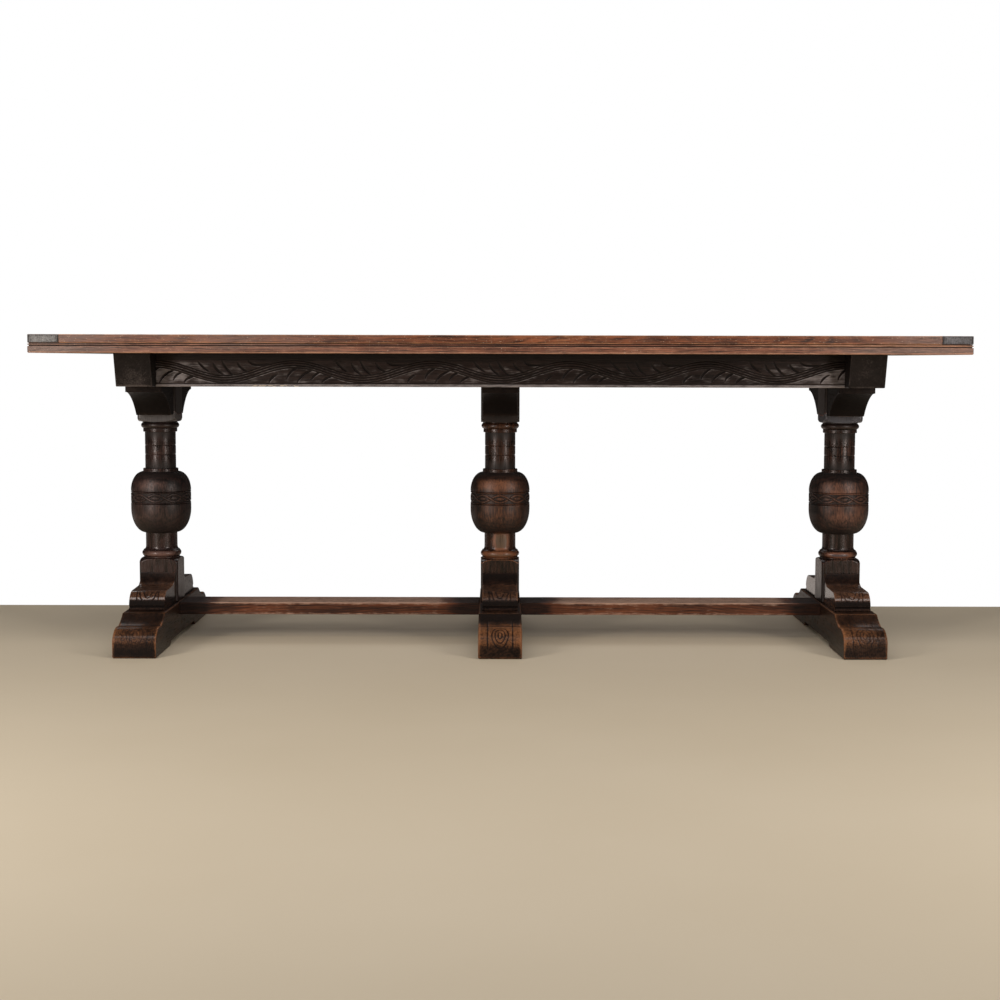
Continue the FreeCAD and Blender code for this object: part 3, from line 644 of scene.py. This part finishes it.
def squared(flat_end, shoulder_end, turned_radius, x_middle, block_darkening, shoulder_tone, crease_rub):
    """Rings of a square block whose shoulder the lathe has rounded in to the turning."""
    shoulder_start = shoulder_end - math.copysign(block_shoulder, shoulder_end - flat_end)
    corner_radius = block_half * math.sqrt(2)
    columns = []
    for part in range(block_points):
        turn = 2 * math.pi * (part + 0.5) / block_points
        cosine, sine = abs(math.cos(turn)), abs(math.sin(turn))
        reach = block_half / max(cosine, sine)
        reach = min(reach, corner_radius - 1.2 * block_arris + 0.3 * block_arris * abs(cosine - sine))
        near_corner = max(0, 1 - abs(cosine - sine) / 0.06)
        crease_share = (corner_radius - reach) / (corner_radius - turned_radius)
        crease_turn = math.acos(max(0.0, min(1.0, 1 - crease_share)))
        crease_level = shoulder_start + (shoulder_end - shoulder_start) * math.sin(crease_turn)
        beside_corbel = cosine > sine and reach * sine > corbel_half_width
        column = []
        for level_share in block_shares:
            # Darker towards the flat end and by the block's darkening; past 0.8 the shoulder takes its own
            # tone.
            rub = 0.6 * near_corner * (1 - block_darkening) - block_darkening - 0.5 * (1 - level_share)
            # Beside a corbel the block's face is darkened, as grime and as painted shade.
            rub = -1.0 if beside_corbel else rub
            rub = shoulder_tone if level_share > 0.8 else rub
            column.append((reach, flat_end + (crease_level - flat_end) * level_share, rub))
        for step in range(shoulder_steps + 1):
            shoulder_turn = crease_turn + (math.pi / 2 - crease_turn) * step / shoulder_steps
            radius = corner_radius - (corner_radius - turned_radius) * (1 - math.cos(shoulder_turn))
            level = shoulder_start + (shoulder_end - shoulder_start) * math.sin(shoulder_turn)
            column.append((radius, level, shoulder_tone if step else crease_rub))
        columns.append([(x_middle + radius * math.sin(turn), -radius * math.cos(turn), level, rub)
                        for radius, level, rub in column])
    return [list(ring) for ring in zip(*columns)]


bulb_low, cup_top, cover_start, bulb_high = bulb_levels
lower_seat_radius = lower_torus[2] - torus_seat
lower_spring = (lower_spring_radius, lower_torus[1])
below = [(lower_seat_radius, lower_block[1] - block_bite), (lower_seat_radius, lower_torus[0])]
below += roll(lower_torus)
below += [lower_spring] + oval(lower_spring, (lower_neck_radius, lower_spring_top), True, 6)
below += [(lower_neck_radius, lower_neck_middle), (lower_neck_radius, bulb_low)]
below += oval((lower_neck_radius, bulb_low), (bulb_radius, cup_top), True, 24)
below += line_cut(bulb_radius, bulb_lines[0])[:2]
band_low = bulb_lines[0] + line_half_width
band_height = bulb_lines[1] - bulb_lines[0] - 2 * line_half_width
band = [(bulb_radius - line_depth, bulb_lines[0])]
band += [(bulb_radius, band_low + band_height * row / band_rows) for row in range(band_rows + 1)]
band += [(bulb_radius - line_depth, bulb_lines[1])]
above = line_cut(bulb_radius, bulb_lines[1])[1:] + [(bulb_radius, cover_start)]
above += oval((bulb_radius, cover_start), (collar[2], bulb_high), False, 22)
above += [(collar[2], collar[1]), (upper_neck_radius, collar[1])]
for level in neck_lines:
    above += line_cut(upper_neck_radius, level)
above += [(upper_neck_radius, fillet[0]), (fillet[2], fillet[0]), (fillet[2], fillet[1])]
above += roll(upper_torus)
above += [(upper_seat_radius, upper_torus[1]), (upper_seat_radius, upper_block[0] + block_bite)]
for trestle in trestles:
    low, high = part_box(f"column_{trestle}")
    middle = (low.x + high.x) / 2
    shells = [
        squared(lower_block[0], lower_block[1], lower_torus[2], middle, 0.0, lower_shoulder_rub,
                crease_blooms[trestle]),
        turned(eased(below), middle, turning_points, trestle),
        turned(band, middle, band_points, trestle, guilloche),
        turned(eased(above), middle, turning_points, trestle),
        squared(upper_block[1], upper_block[0], upper_torus[2], middle, upper_block_darkening,
                shoulder_sheen_and_shade[trestle], shoulder_sheen_and_shade[trestle]),
    ]
    column_oak = oak(f"{trestle} column oak", "Z", *column_stains[trestle], polish=0.25,
                     pith=(middle, 0.02, 0.0), shine=0.48, tooth=0.22, grain=(25.0, 260.0),
                     bloom_and_sheen=column_bloom_and_sheen[trestle], dull=(bulb_low, bulb_high))
    fit(f"turned_column_{trestle}", shells, column_oak, "column_oak", f"column_{trestle}")


# Corbels: bandsawn oak brackets, a little narrower than the blocks and dowelled to them front and back.
# The lower ones stand on the feet, with a cut leaf, and are rubbed on their noses, with painted shade under
# the noses, against the blocks and below the quirks; the upper ones carry the bearers in the dark, in an oak
# painted darker as shade.

corbel_arris = 0.0012
lower_fillet = (0.092, 0.099)
lower_quirk = (0.104, 0.004)
lower_nose = (0.1645, 0.137, -0.009)
lower_shelf = (0.0985, 0.139)
lower_sweep = (0.0525, 0.168, 0.009)
upper_hollow_foot = (0.0815, 0.566)
upper_hollow_head = (0.1915, 0.625, 0.011)
corbel_leaf_middle = 0.105
corbel_leaf_ovals = ((0.024, 0.115), (0.014, 0.085), (0.006, 0.050))
corbel_leaf_margin = 0.0262
corbel_wear = {"left": 0.60, "middle": 0.46, "right": 0.52}
corbel_wax = {"left": 1.0, "middle": 0.1, "right": 0.8}
corbel_top_shade = {"left": 0.25, "middle": 0.9, "right": 0.4}
corbel_cuts = {"left": 1.1, "middle": 0.9, "right": 0.5}
corbel_sides = {"left": 0.1, "middle": 0.1, "right": 0.25}
corbel_shade_rub = -0.6
corbel_worn_span = (0.02, 0.065, 0.194, 0.204)
corbel_top_span = (0.02, 0.07)
corbel_foot_span = (0.194, 0.206)
leaf_start_span = (0.145, 0.17)
leaf_end_span = (0.195, 0.21)
leaf_faint = 0.1
shade_oak = oak("shaded corbel oak", "Y", tint(10, 7, 7), tint(20, 16, 15), tint(50, 38, 32),
                polish=0.5, shine=0.15)


def outward(way):
    """Placing for a bracket whose outline reaches out to the front (-1) or the back (1)."""

    def place(run, across, up):
        return Vector((run, way * across, up))

    return place


def corbel_carving(trestle):
    """Carving of a lower corbel: depth and rub from the place on it."""

    def carving(run, across, up):
        # Below the quirk and against the block the corbel takes painted shade.
        if across < block_half + 0.003 or up < lower_quirk[0] + 0.0005:
            return 0.0, corbel_shade_rub
        down = across - block_half + lower_sweep[1] - up
        cut = leaf_cut_at(run, down, corbel_leaf_middle, corbel_leaf_ovals, corbel_leaf_margin)
        cut *= leaf_faint + (1 - leaf_faint) * ease(down, *leaf_start_span)
        cut *= 1 - ease(down, *leaf_end_span)
        wear = corbel_wear[trestle] * within(down, *corbel_worn_span)
        # Painted shade at the top against the block and under the nose.
        darkening = corbel_top_shade[trestle] * (1 - ease(down, *corbel_top_span)) + ease(down, *corbel_foot_span)
        return leaf_depth * cut, wear - darkening - corbel_cuts[trestle] * cut

    return carving


for trestle in trestles:
    corbel_oak = oak(f"{trestle} corbel oak", "Y", tint(19, 13, 11), tint(54, 36, 28), tint(116, 79, 57),
                     polish=0.36, shine=0.1, tooth=0.25, coat=corbel_wax[trestle])
    for side, way in (("front", -1), ("back", 1)):
        low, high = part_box(f"lower_corbel_{trestle}_{side}")
        reach = max(abs(low.y), abs(high.y))
        points = [(block_half, lower_fillet[0]), (reach, lower_fillet[0]), (reach, lower_fillet[1]),
                  (reach - lower_quirk[1], lower_fillet[1]), (reach - lower_quirk[1], lower_quirk[0]),
                  (reach, lower_quirk[0])]
        points += arc((reach, lower_quirk[0]), lower_nose[:2], lower_nose[2], slope_steps) + [lower_shelf]
        points += arc(lower_shelf, lower_sweep[:2], lower_sweep[2]) + [(block_half, lower_sweep[1])]
        outline = divided(softened(points, 2 * corbel_arris), carving_pitch)
        rings = sawn(outline, low.x, high.x, corbel_arris, outward(way), carving_step,
                     end_rub=corbel_sides[trestle], carve=corbel_carving(trestle))
        fit(f"lower_bracket_{trestle}_{side}", [rings], corbel_oak, "foot_oak",
            f"lower_corbel_{trestle}_{side}")
        low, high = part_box(f"upper_corbel_{trestle}_{side}")
        reach = max(abs(low.y), abs(high.y))
        points = [(block_half, low.z), upper_hollow_foot]
        points += arc(upper_hollow_foot, upper_hollow_head[:2], upper_hollow_head[2])
        points += [(reach, upper_hollow_head[1]), (reach, high.z), (block_half, high.z)]
        outline = softened(points, 2 * corbel_arris)
        rings = sawn(outline, low.x, high.x, corbel_arris, outward(way), end_rub=corbel_shade_rub)
        fit(f"upper_bracket_{trestle}_{side}", [rings], shade_oak, "frame_oak",
            f"upper_corbel_{trestle}_{side}")


# Bearers: thick oak cross pieces mortised over the columns, the outer two with ends canted under the top.
# They stand in the top's shadow and keep their black stain; their ends and upper edges are painted darker as
# shade, and low down the left one is lighter, worn at its arris and painted light, the right one a little
# darker.

bearer_foot_half = 0.309
bearer_arris = 0.002
bearer_pitch = 0.006
bearer_foot_wear_and_light = {"left": 0.25, "right": -0.1}
bearer_side_shade = -0.8
bearer_foot_height = 0.05
bearer_shade_height = 0.03
bearer_oak = oak("bearer oak", "Y", tint(6, 5, 5), tint(27, 22, 21), tint(90, 80, 75), patchy=0.2,
                 polish=0.42, shine=0.2, grain=(60.0, 150.0))


def bearer_wear(side, low_z, high_z):
    """Wear of a bearer, with painted light and shade: no depth, and rub from the place on it."""

    def wear(run, across, up):
        streak = noise.noise(Vector((run * 34, across, up * 9)))
        foot = 1 - ease(up, low_z, low_z + bearer_foot_height)
        shade = ease(up, high_z - bearer_shade_height, high_z)
        # Low down worn and painted light as given; the upper edge takes the painted shadow of the top.
        return 0.0, bearer_foot_wear_and_light[side] * foot + 0.35 * streak - 0.3 * shade

    return wear


for side in ("left", "right"):
    low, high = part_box(f"bearer_{side}")
    corners = [(-bearer_foot_half, low.z), (bearer_foot_half, low.z), (high.y, high.z), (-high.y, high.z)]
    outline = divided(softened(corners, 1.5 * bearer_arris), bearer_pitch, 0.2)
    rings = sawn(outline, low.x, high.x, bearer_arris, along_x, bearer_pitch, end_rub=bearer_side_shade,
                 carve=bearer_wear(side, low.z, high.z))
    fit(f"cross_bearer_{side}", [rings], bearer_oak, "frame_oak", f"bearer_{side}")


# Frieze rails: long oak boards tenoned between the bearers, their outer faces carved by hand with a running
# vine. A stem of parallel cuts winds the whole length, and gouge strokes fill each of its bends with a leaf.
# The lower arris is worn and chipped. Painted shadow lies under the top and towards the middle, and painted
# highlights lighten the ends, the stem's ridges, the leaves' cushions and the lips below the strokes.

rail_pitch = 0.001
rail_foot = 0.640
rail_rows = 68
rail_upper_levels = (0.715, 0.730)
rail_arris = ((0.0, 0.0012), (0.0004, 0.0004), (0.0012, 0.0))
rail_arris_rub = 0.9
rail_margin_rub = 0.85
rail_shadow_levels = (0.685, 0.712)
vine_low = 0.648
vine_high = 0.7046
vine_waves = 5
vine_overrun = 0.004
stem_inset = 0.0105
stem_light = (0.0024, 0.0014)
stem_offsets = (-0.0085, -0.003, 0.003, 0.0085)
stem_cut = (0.0019, 0.0020)
leaf_cut = (0.0033, 0.0034)
margin_cut = 0.0016
stroke_steps = 60
stroke_reach = 5
upper_strokes = (
    ((-63, 60), (-54, 46), (-36, 36)), ((-27, 56), (-21, 38), (0, 27)), ((-6, 62), (1, 41), (26, 24)),
    ((31, 57), (36, 42), (62, 33)), ((57, 62), (64, 47), (104, 55)),
)
lower_strokes = (
    ((-58, 11), (-54, 23), (-38, 30)), ((-16, 19), (-12, 38), (14, 48)), ((9, 10), (16, 32), (52, 42)),
    ((42, 16), (47, 32), (74, 38)), ((68, 11), (74, 23), (100, 27)),
)
rail_chips = ((-0.600, -0.478), (-0.385, -0.355))


def stroke_depths(strokes):
    """How deep, from 0 to 1, a leaf's gouge strokes are on a grid of one wave, in millimetre cells."""
    depths = {}
    for start, bend, end in strokes:
        for step in range(stroke_steps + 1):
            share = step / stroke_steps
            spot = Vector(start).lerp(Vector(bend), share).lerp(Vector(bend).lerp(Vector(end), share), share)
            swell = math.sin(math.pi * (0.06 + 0.88 * share)) ** 0.6
            width = 1000 * leaf_cut[0] * (0.35 + 0.65 * swell)
            for column in range(int(spot.x - stroke_reach), int(spot.x + stroke_reach + 1)):
                for row in range(int(spot.y - stroke_reach), int(spot.y + stroke_reach + 1)):
                    gap = math.hypot(column - spot.x, row - spot.y)
                    depth = swell * max(0.0, 1 - (gap / width) ** 2)
                    depths[column, row] = max(depth, depths.get((column, row), 0.0))
    return depths


def carved_rail(side, length):
    """Carving of a rail's outer face: depth and rub from the place along it and the height."""
    wave = 2 * length / vine_waves
    upper = stroke_depths(upper_strokes)
    lower = stroke_depths(lower_strokes)
    swing = (vine_high - vine_low) / 2 - stem_inset
    middle = (vine_high + vine_low) / 2

    def carving(run, level):
        along = run * -side
        # Painted shadow under the top and towards the middle.
        darkening = 0.08 + 0.75 * ease(level, *rail_shadow_levels) + 0.15 * (1 - ease(abs(run), 0.3, 0.75))
        if not vine_low - vine_overrun < level < vine_high + vine_overrun:
            return 0.0, -darkening
        turn = 2 * math.pi * (along + length) / wave
        stem = middle + swing * math.cos(turn)
        steep = swing * 2 * math.pi / wave * math.sin(turn)
        gap = (level - stem) / math.hypot(1, steep)
        cut = max(0.0, 1 - min(abs(gap - offset) for offset in stem_offsets) / stem_cut[0])
        margin_gap = min(abs(level - vine_low), abs(level - vine_high))
        cut = max(cut, 0.7 - 0.7 * margin_gap / margin_cut)
        deepest = stem_cut[1] * cut
        if abs(gap) < abs(stem_offsets[0]) + 0.003:
            # Painted highlight along the stem's ridges.
            lit = max(1 - abs(gap - offset + stem_light[0]) / stem_light[1] for offset in stem_offsets)
            darkening -= 0.15 + 0.5 * max(0.0, lit)
        if abs(gap) > abs(stem_offsets[0]) + 0.001 and vine_low < level < vine_high:
            leaf, shift = (upper, wave / 2) if gap > 0 else (lower, 0.0)
            spot = (along + length - shift + wave / 2) % wave - wave / 2
            column, row = round(spot * 1000), round((level - rail_foot) * 1000)
            stroke = leaf.get((column, row), 0.0)
            lump = 0.5 + 0.5 * noise.noise(Vector((run * 40, level * 70, side)))
            deepest = max(deepest, leaf_cut[1] * stroke, 0.0004 + 0.0008 * lump)
            cut = max(cut, stroke)
            lip = leaf.get((column - 1, row + 2), 0.0)
            # Painted highlights on the leaf cushions, towards the ends, and on the lips below the strokes.
            darkening -= lump - 0.25 + 0.45 * ease(abs(run), 0.66, 0.80) + 0.5 * max(0.0, lip - stroke)
        return deepest, -darkening - 1.9 * cut

    return carving


# Its grey rubbed colour is worn wood at the margin and arris, and painted highlight on the carving.
frieze_oak = oak("frieze oak", "X", tint(18, 13, 12), tint(52, 40, 36), tint(138, 129, 126), polish=0.34,
                 shine=0.3, bloom_and_sheen=tint(196, 178, 156))
for name, side in (("front", -1), ("back", 1)):
    low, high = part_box(f"frieze_rail_{name}")
    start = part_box("bearer_left")[1].x
    end = -start
    outer, inner = (low.y, high.y) if side < 0 else (high.y, low.y)
    carve = carved_rail(side, end)
    levels = [low.z + rise for rise, inset in rail_arris]
    levels += [low.z + 0.002 + rail_pitch * row for row in range(rail_rows)]
    levels += [*rail_upper_levels, high.z]
    columns = round((end - start) / rail_pitch)
    rings = []
    for column in range(columns + 1):
        run = start + (end - start) * column / columns
        ring = []
        for row, level in enumerate(levels):
            depth, rub = carve(run, level)
            if level < vine_low - 0.002:
                rub = rail_margin_rub
            if row < len(rail_arris):
                rub = rail_arris_rub
                chip = max(0, noise.noise(Vector((run * 31, row * 0.3, side))) - 0.25)
                depth = rail_arris[row][1] + 0.0022 * chip
            if row < 5 and side < 0 and any(first < run < last for first, last in rail_chips):
                rub += 1.6 * ease(noise.noise(Vector((run * 120, row * 0.4, 7))), 0.0, 0.25)
            ring.append((run, outer - side * depth, level, rub))
        ring += [(run, inner, high.z, 0.0), (run, inner, low.z, 0.0)]
        rings.append(ring)
    fit(f"carved_rail_{name}", [rings], frieze_oak, "frame_oak", f"frieze_rail_{name}")


# Top boards: four long oak boards laid edge to edge, tongued at both ends into the cleats.
# The outer edges have been handled most, so their stain has gone thin and red-brown with paler streaks;
# dirt fills the seams between the boards.

board_arris = 0.0012
board_end_arris = 0.0006
board_dent = 0.0003
board_step = 0.02
board_rub = 0.1
boards = (1, 2, 3, 4)
board_oak = oak("board oak", "X", tint(46, 24, 17), tint(142, 80, 49), tint(166, 114, 76), patchy=0.5,
                polish=0.46, pith=(0.0, 0.05, 0.70), grain=(14.0, 240.0), faded=tint(116, 94, 86))


def handled(run, across, up):
    """Hands have worn the boards a little all over, and cut nothing away."""
    return 0.0, board_rub


cleat_low, cleat_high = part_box("end_cleat_right")
outer_edge = cleat_high.y - 0.003
for number in boards:
    low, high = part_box(f"top_board_{number}")
    corners = oblong(low.y, high.y, low.z, high.z)
    outline = [(across, up, rub if abs(across) > outer_edge else -rub)
               for across, up, rub in softened(corners, board_arris, 0.0015, 0.7)]
    rings = sawn(outline, -cleat_low.x, cleat_low.x, board_end_arris, along_x, board_step, board_dent,
                 carve=handled)
    fit(f"oak_board_{number}", [rings], board_oak, "top_oak", f"top_board_{number}")


# End cleats: oak battens across the ends of the boards, grooved over their tongues and pegged.
# They are brown like the boards, but their end grain, at front and back, has drunk the stain and worn grey.

cleat_rims = ((0.5, 0.5), (0.75, 0.2), (0.88, -0.1), (0.95, -0.7), (1.0, -0.8))
cleat_oak = oak("cleat oak", "Y", tint(40, 22, 16), tint(124, 72, 46), tint(160, 110, 76), patchy=0.5,
                polish=0.46, pith=(0.0, 0.0, 0.70), grain=(14.0, 240.0))
end_grain = {
    side: oak(f"{side} end grain", "Y", dark, warm, rubbed, polish=0.46, pith=(0.0, 0.0, 0.70))
    for side, dark, warm, rubbed in (
        ("left", tint(50, 47, 45), tint(128, 125, 122), tint(158, 154, 150)),
        ("right", tint(46, 45, 46), tint(102, 100, 102), tint(116, 113, 115)),
    )
}
for side in ("left", "right"):
    low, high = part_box(f"end_cleat_{side}")
    corners = oblong(low.x, high.x, low.z, high.z)
    rings = sawn(softened(corners, 2 * board_arris), low.y, high.y, board_arris, along_y, board_step,
                 board_dent, rims=cleat_rims)
    cleat = fit(f"cross_cleat_{side}", [rings], cleat_oak, "cleat_oak", f"end_cleat_{side}")
    cleat.data.materials.append(end_grain[side])
    for face in cleat.data.polygons:
        face.material_index = int(abs(face.normal.y) > 0.9)


# Edge moulding: an oak fillet stuck with a bead between two quirks, mitred round under the rim of the top.
# It is glued up under the boards and cleats; the bead and the lower arris have been rubbed bright, and the
# bead's paler ends, most at the right, are also a painted highlight.

moulding_width = 0.046
bead_radius = 0.0015
upper_quirk = 0.0016
lower_quirk_height = 0.0028
quirk_depth = 0.0026
moulding_arris = 0.0025
moulding_step = 0.02
moulding_end = 0.0006
moulding_oak = {
    way: oak(f"{name} moulding oak", way, tint(50, 29, 23), tint(142, 88, 65), tint(176, 128, 100),
             patchy=0.5, polish=0.46, grain=(14.0, 240.0), faded=tint(120, 101, 92))
    for way, name in (("X", "long"), ("Y", "short"))
}


def moulding_section(low_z, high_z):
    """Section from the inner foot to the inner head: depth in from the face, height, and how rubbed it is."""
    bead_middle = high_z - upper_quirk - bead_radius
    section = [(moulding_width, low_z, 0), (moulding_arris + arris_support, low_z, 0)]
    for step in range(5):
        turn = math.pi / 2 * step / 4
        inset, rise = (moulding_arris * (1 - share) for share in (math.sin(turn), math.cos(turn)))
        section.append((inset, low_z + rise, 0.8))
    face_top = bead_middle - bead_radius - lower_quirk_height
    section += [(0, low_z + moulding_arris + 0.0015, 0.1), (0, face_top - 0.0015, 0.1)]
    section.append((0.0004, face_top, 0.8))
    section += [(quirk_depth, face_top, -1), (quirk_depth, bead_middle - bead_radius, -1)]
    for step in range(1, 8):
        turn = math.pi * (step / 8 - 0.5)
        section.append((bead_radius * (1 - math.cos(turn)), bead_middle + bead_radius * math.sin(turn), 0.35))
    section += [(quirk_depth, bead_middle + bead_radius, -1), (quirk_depth, high_z, -1)]
    return section + [(moulding_width, high_z, 0)]


for name, way, turn in (("front", "X", -1), ("back", "X", 1), ("left", "Y", -1), ("right", "Y", 1)):
    low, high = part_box(f"edge_moulding_{name}")
    half_run = high.x if way == "X" else high.y
    face = max(abs(low.y), abs(high.y)) if way == "X" else max(abs(low.x), abs(high.x))
    count = round(2 * half_run / moulding_step)
    shares = [2 * part / count - 1 for part in range(count + 1)]
    shares[1:1] = [moulding_end / half_run - 1]
    shares[-1:-1] = [1 - moulding_end / half_run]
    rings = []
    for share in shares:
        ring = []
        for depth, level, rub in moulding_section(low.z, high.z):
            run = share * (half_run - depth)
            # The bead grows paler towards the ends and most at the right: wear and painted highlight.
            if level > high.z - upper_quirk - 2 * bead_radius and rub > 0:
                rub = 0.7 * ease(abs(run), 0.25, 0.7) + 0.7 * ease(run, 0.4, 0.7) - 0.4
            worn = 0.0003 * (1 + noise.noise(Vector((run * 23, level * 90, turn))))
            if rub > 0.3:
                worn += 0.0012 * max(0, noise.noise(Vector((run * 41, level * 60, 3 + turn))) - 0.1)
            across = turn * (face - depth - worn * (depth < moulding_width / 2))
            ring.append((run, across, level, rub) if way == "X" else (across, run, level, rub))
        rings.append(ring)
    fit(f"bead_moulding_{name}", [rings], moulding_oak[way], "top_oak", f"edge_moulding_{name}")


# Pegs: riven oak, driven through the cleats, through the columns' tenons, and up into the stretchers' tenons.
# Each is cut off nearly flush and stands a hair proud, as the wood round it has shrunk.

peg_radius = 0.005
peg_proud = 0.0006
peg_profile = ((1.0, -0.004), (1.0, 0.0), (0.9, peg_proud * 0.8), (0.4, peg_proud))
peg_sides = 8
peg_rub = 0.3
cleat_peg_inset = 0.009
column_peg_half_gap = 0.018
column_peg_levels = {"foot": 0.0374, "bearer": 0.6675}
peg_oak = oak("peg oak", "Z", tint(34, 24, 18), tint(72, 48, 34), tint(104, 74, 52), patchy=0.5, polish=0.45)


def peg_head(spot, way):
    """Rings of a peg's showing end at a spot on the surface, domed along a way out of the wood."""
    side = way.orthogonal().normalized()
    other = way.cross(side)
    rings = []
    for share, rise in peg_profile:
        ring = []
        for part in range(peg_sides):
            turn = 2 * math.pi * (part + 0.5) / peg_sides
            reach = (side * math.cos(turn) + other * math.sin(turn)) * peg_radius * share
            ring.append((*(spot + way * rise + reach), peg_rub))
        rings.append(ring)
    return rings


top_heads = []
for side in ("left", "right"):
    low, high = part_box(f"end_cleat_{side}")
    inner = min(abs(low.x), abs(high.x))
    for number in boards:
        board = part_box(f"top_board_{number}")
        peg_x = math.copysign(inner + cleat_peg_inset, low.x)
        spot = Vector((peg_x, (board[0].y + board[1].y) / 2, high.z))
        top_heads.append(peg_head(spot, Vector((0, 0, 1))))
fit("cleat_peg_heads", top_heads, peg_oak, "peg_oak", "cleat_pegs")

side_heads = []
for trestle in trestles:
    for piece, level in column_peg_levels.items():
        low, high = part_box(f"{piece}_{trestle}")
        for across in (-column_peg_half_gap, column_peg_half_gap):
            for face, way in ((low.x, -1), (high.x, 1)):
                side_heads.append(peg_head(Vector((face, across, level)), Vector((way, 0, 0))))
fit("column_peg_heads", side_heads, peg_oak, "peg_oak", "column_pegs")


# Hidden fixings: the middle bearer, glue blocks, turn buttons, dowels and the pegs under the feet.
# The bearer is stained like the others, and the rest is sawn from plain oak offcuts and never stained; the
# buttons hold the top down with dull steel screws.

inner_oak = oak("inner oak", "X", tint(96, 70, 46), tint(146, 112, 76), tint(164, 130, 92), patchy=0.5,
                polish=0.55)


def dress(name, material):
    """CAD piece shown as it is, in a material."""
    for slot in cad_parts[name].material_slots:
        slot.material = material


for name in ("glue_blocks", "top_buttons", "corbel_dowels", "stretcher_pegs"):
    dress(name, inner_oak)
dress("bearer_middle", bearer_oak)

screw_steel, screw_shader, screw_place = started("screw steel")
tarnish = screw_place.cloud(400.0, 4.0).between(0.4, 0.65)
tarnish.mix(tint(150, 146, 140), tint(96, 74, 58)).feed(screw_shader, "Base Color")
(tarnish * 0.35 + 0.3).feed(screw_shader, "Roughness")
(1 - tarnish * 0.6).feed(screw_shader, "Metallic")
dress("button_screws", screw_steel)


# Setting: a plain pale floor that ends a little behind the table, and white all round it.
# Two soft lamps stand in front to left and right, a broad one hangs above, and a weak one lights the back.
# Polished sides mirror a pale warm band low behind the table, weaker on the right.

floor_back = 0.53
floor_reach = 7.0
floor_mesh = bpy.data.meshes.new("floor")
floor_mesh.from_pydata([(-floor_reach, -floor_reach, 0), (floor_reach, -floor_reach, 0),
                        (floor_reach, floor_back, 0), (-floor_reach, floor_back, 0)], [], [(0, 1, 2, 3)])
floor = bpy.data.objects.new("floor", floor_mesh)
bpy.context.scene.collection.objects.link(floor)
floor_paint, floor_shader, floor_place = started("pale floor")
floor_place.cloud(1.5, 3.0).mix(tint(208, 190, 162), tint(216, 199, 173)).feed(floor_shader, "Base Color")
floor_shader.inputs["Roughness"].default_value = 0.6
floor_mesh.materials.append(floor_paint)

for name, spot, aim, size, power in (
    ("left lamp", (-2.3, -2.5, 1.2), (0, 0, 0.45), (0.5, 1.9), 49),
    ("right lamp", (2.3, -2.5, 1.2), (0, 0, 0.45), (0.5, 1.9), 42),
    ("top lamp", (0, -1.7, 3.0), (0, -0.2, 0.2), (3.8, 0.9), 40),
    ("back lamp", (0, 2.6, 2.6), (0, 0, 0.4), (3.8, 0.9), 16),
):
    lamp = bpy.data.lights.new(name, "AREA")
    lamp.shape = "RECTANGLE"
    lamp.size, lamp.size_y = size
    lamp.energy = power
    stand = bpy.data.objects.new(name, lamp)
    stand.location = spot
    stand.rotation_euler = (Vector(aim) - Vector(spot)).to_track_quat("-Z", "Y").to_euler()
    bpy.context.scene.collection.objects.link(stand)

world = bpy.data.worlds.new("white room")
bpy.context.scene.world = world
world.use_nodes = True
sky = world.node_tree.nodes["Background"]
gaze = Grain(world.node_tree.nodes.new("ShaderNodeTexCoord").outputs["Generated"])
ray = world.node_tree.nodes.new("ShaderNodeLightPath")
seen = Grain(ray.outputs["Is Camera Ray"])
mirrored = Grain(ray.outputs["Is Glossy Ray"])
rightward = gaze.axis(0).between(-0.1, 0.1)
behind = gaze.axis(1).between(-0.3, 0.7)
raised = gaze.axis(2).between(-0.118, -0.098)
sheen = behind * (0.7 - rightward * 0.36) * (1 - raised) + 0.03
strength = seen + (1 - seen) * (mirrored * sheen + (1 - mirrored) * 0.15)
strength.feed(sky, "Strength")
mirrored.mix((1.0, 1.0, 1.0, 1.0), (1.0, 0.88, 0.80, 1.0)).feed(sky, "Color")

camera_pitch = 0.0819
camera = bpy.data.cameras.new("camera")
camera.sensor_fit = "HORIZONTAL"
camera.sensor_width = 36.0
camera.lens = 61.67
eye = bpy.data.objects.new("camera", camera)
eye.location = (-0.0096, -4.3557, 0.7062)
eye.rotation_euler = (math.pi / 2 - camera_pitch, -0.0022, -0.0020)
bpy.context.scene.collection.objects.link(eye)
bpy.context.scene.camera = eye
bpy.context.scene.view_settings.view_transform = "Standard"
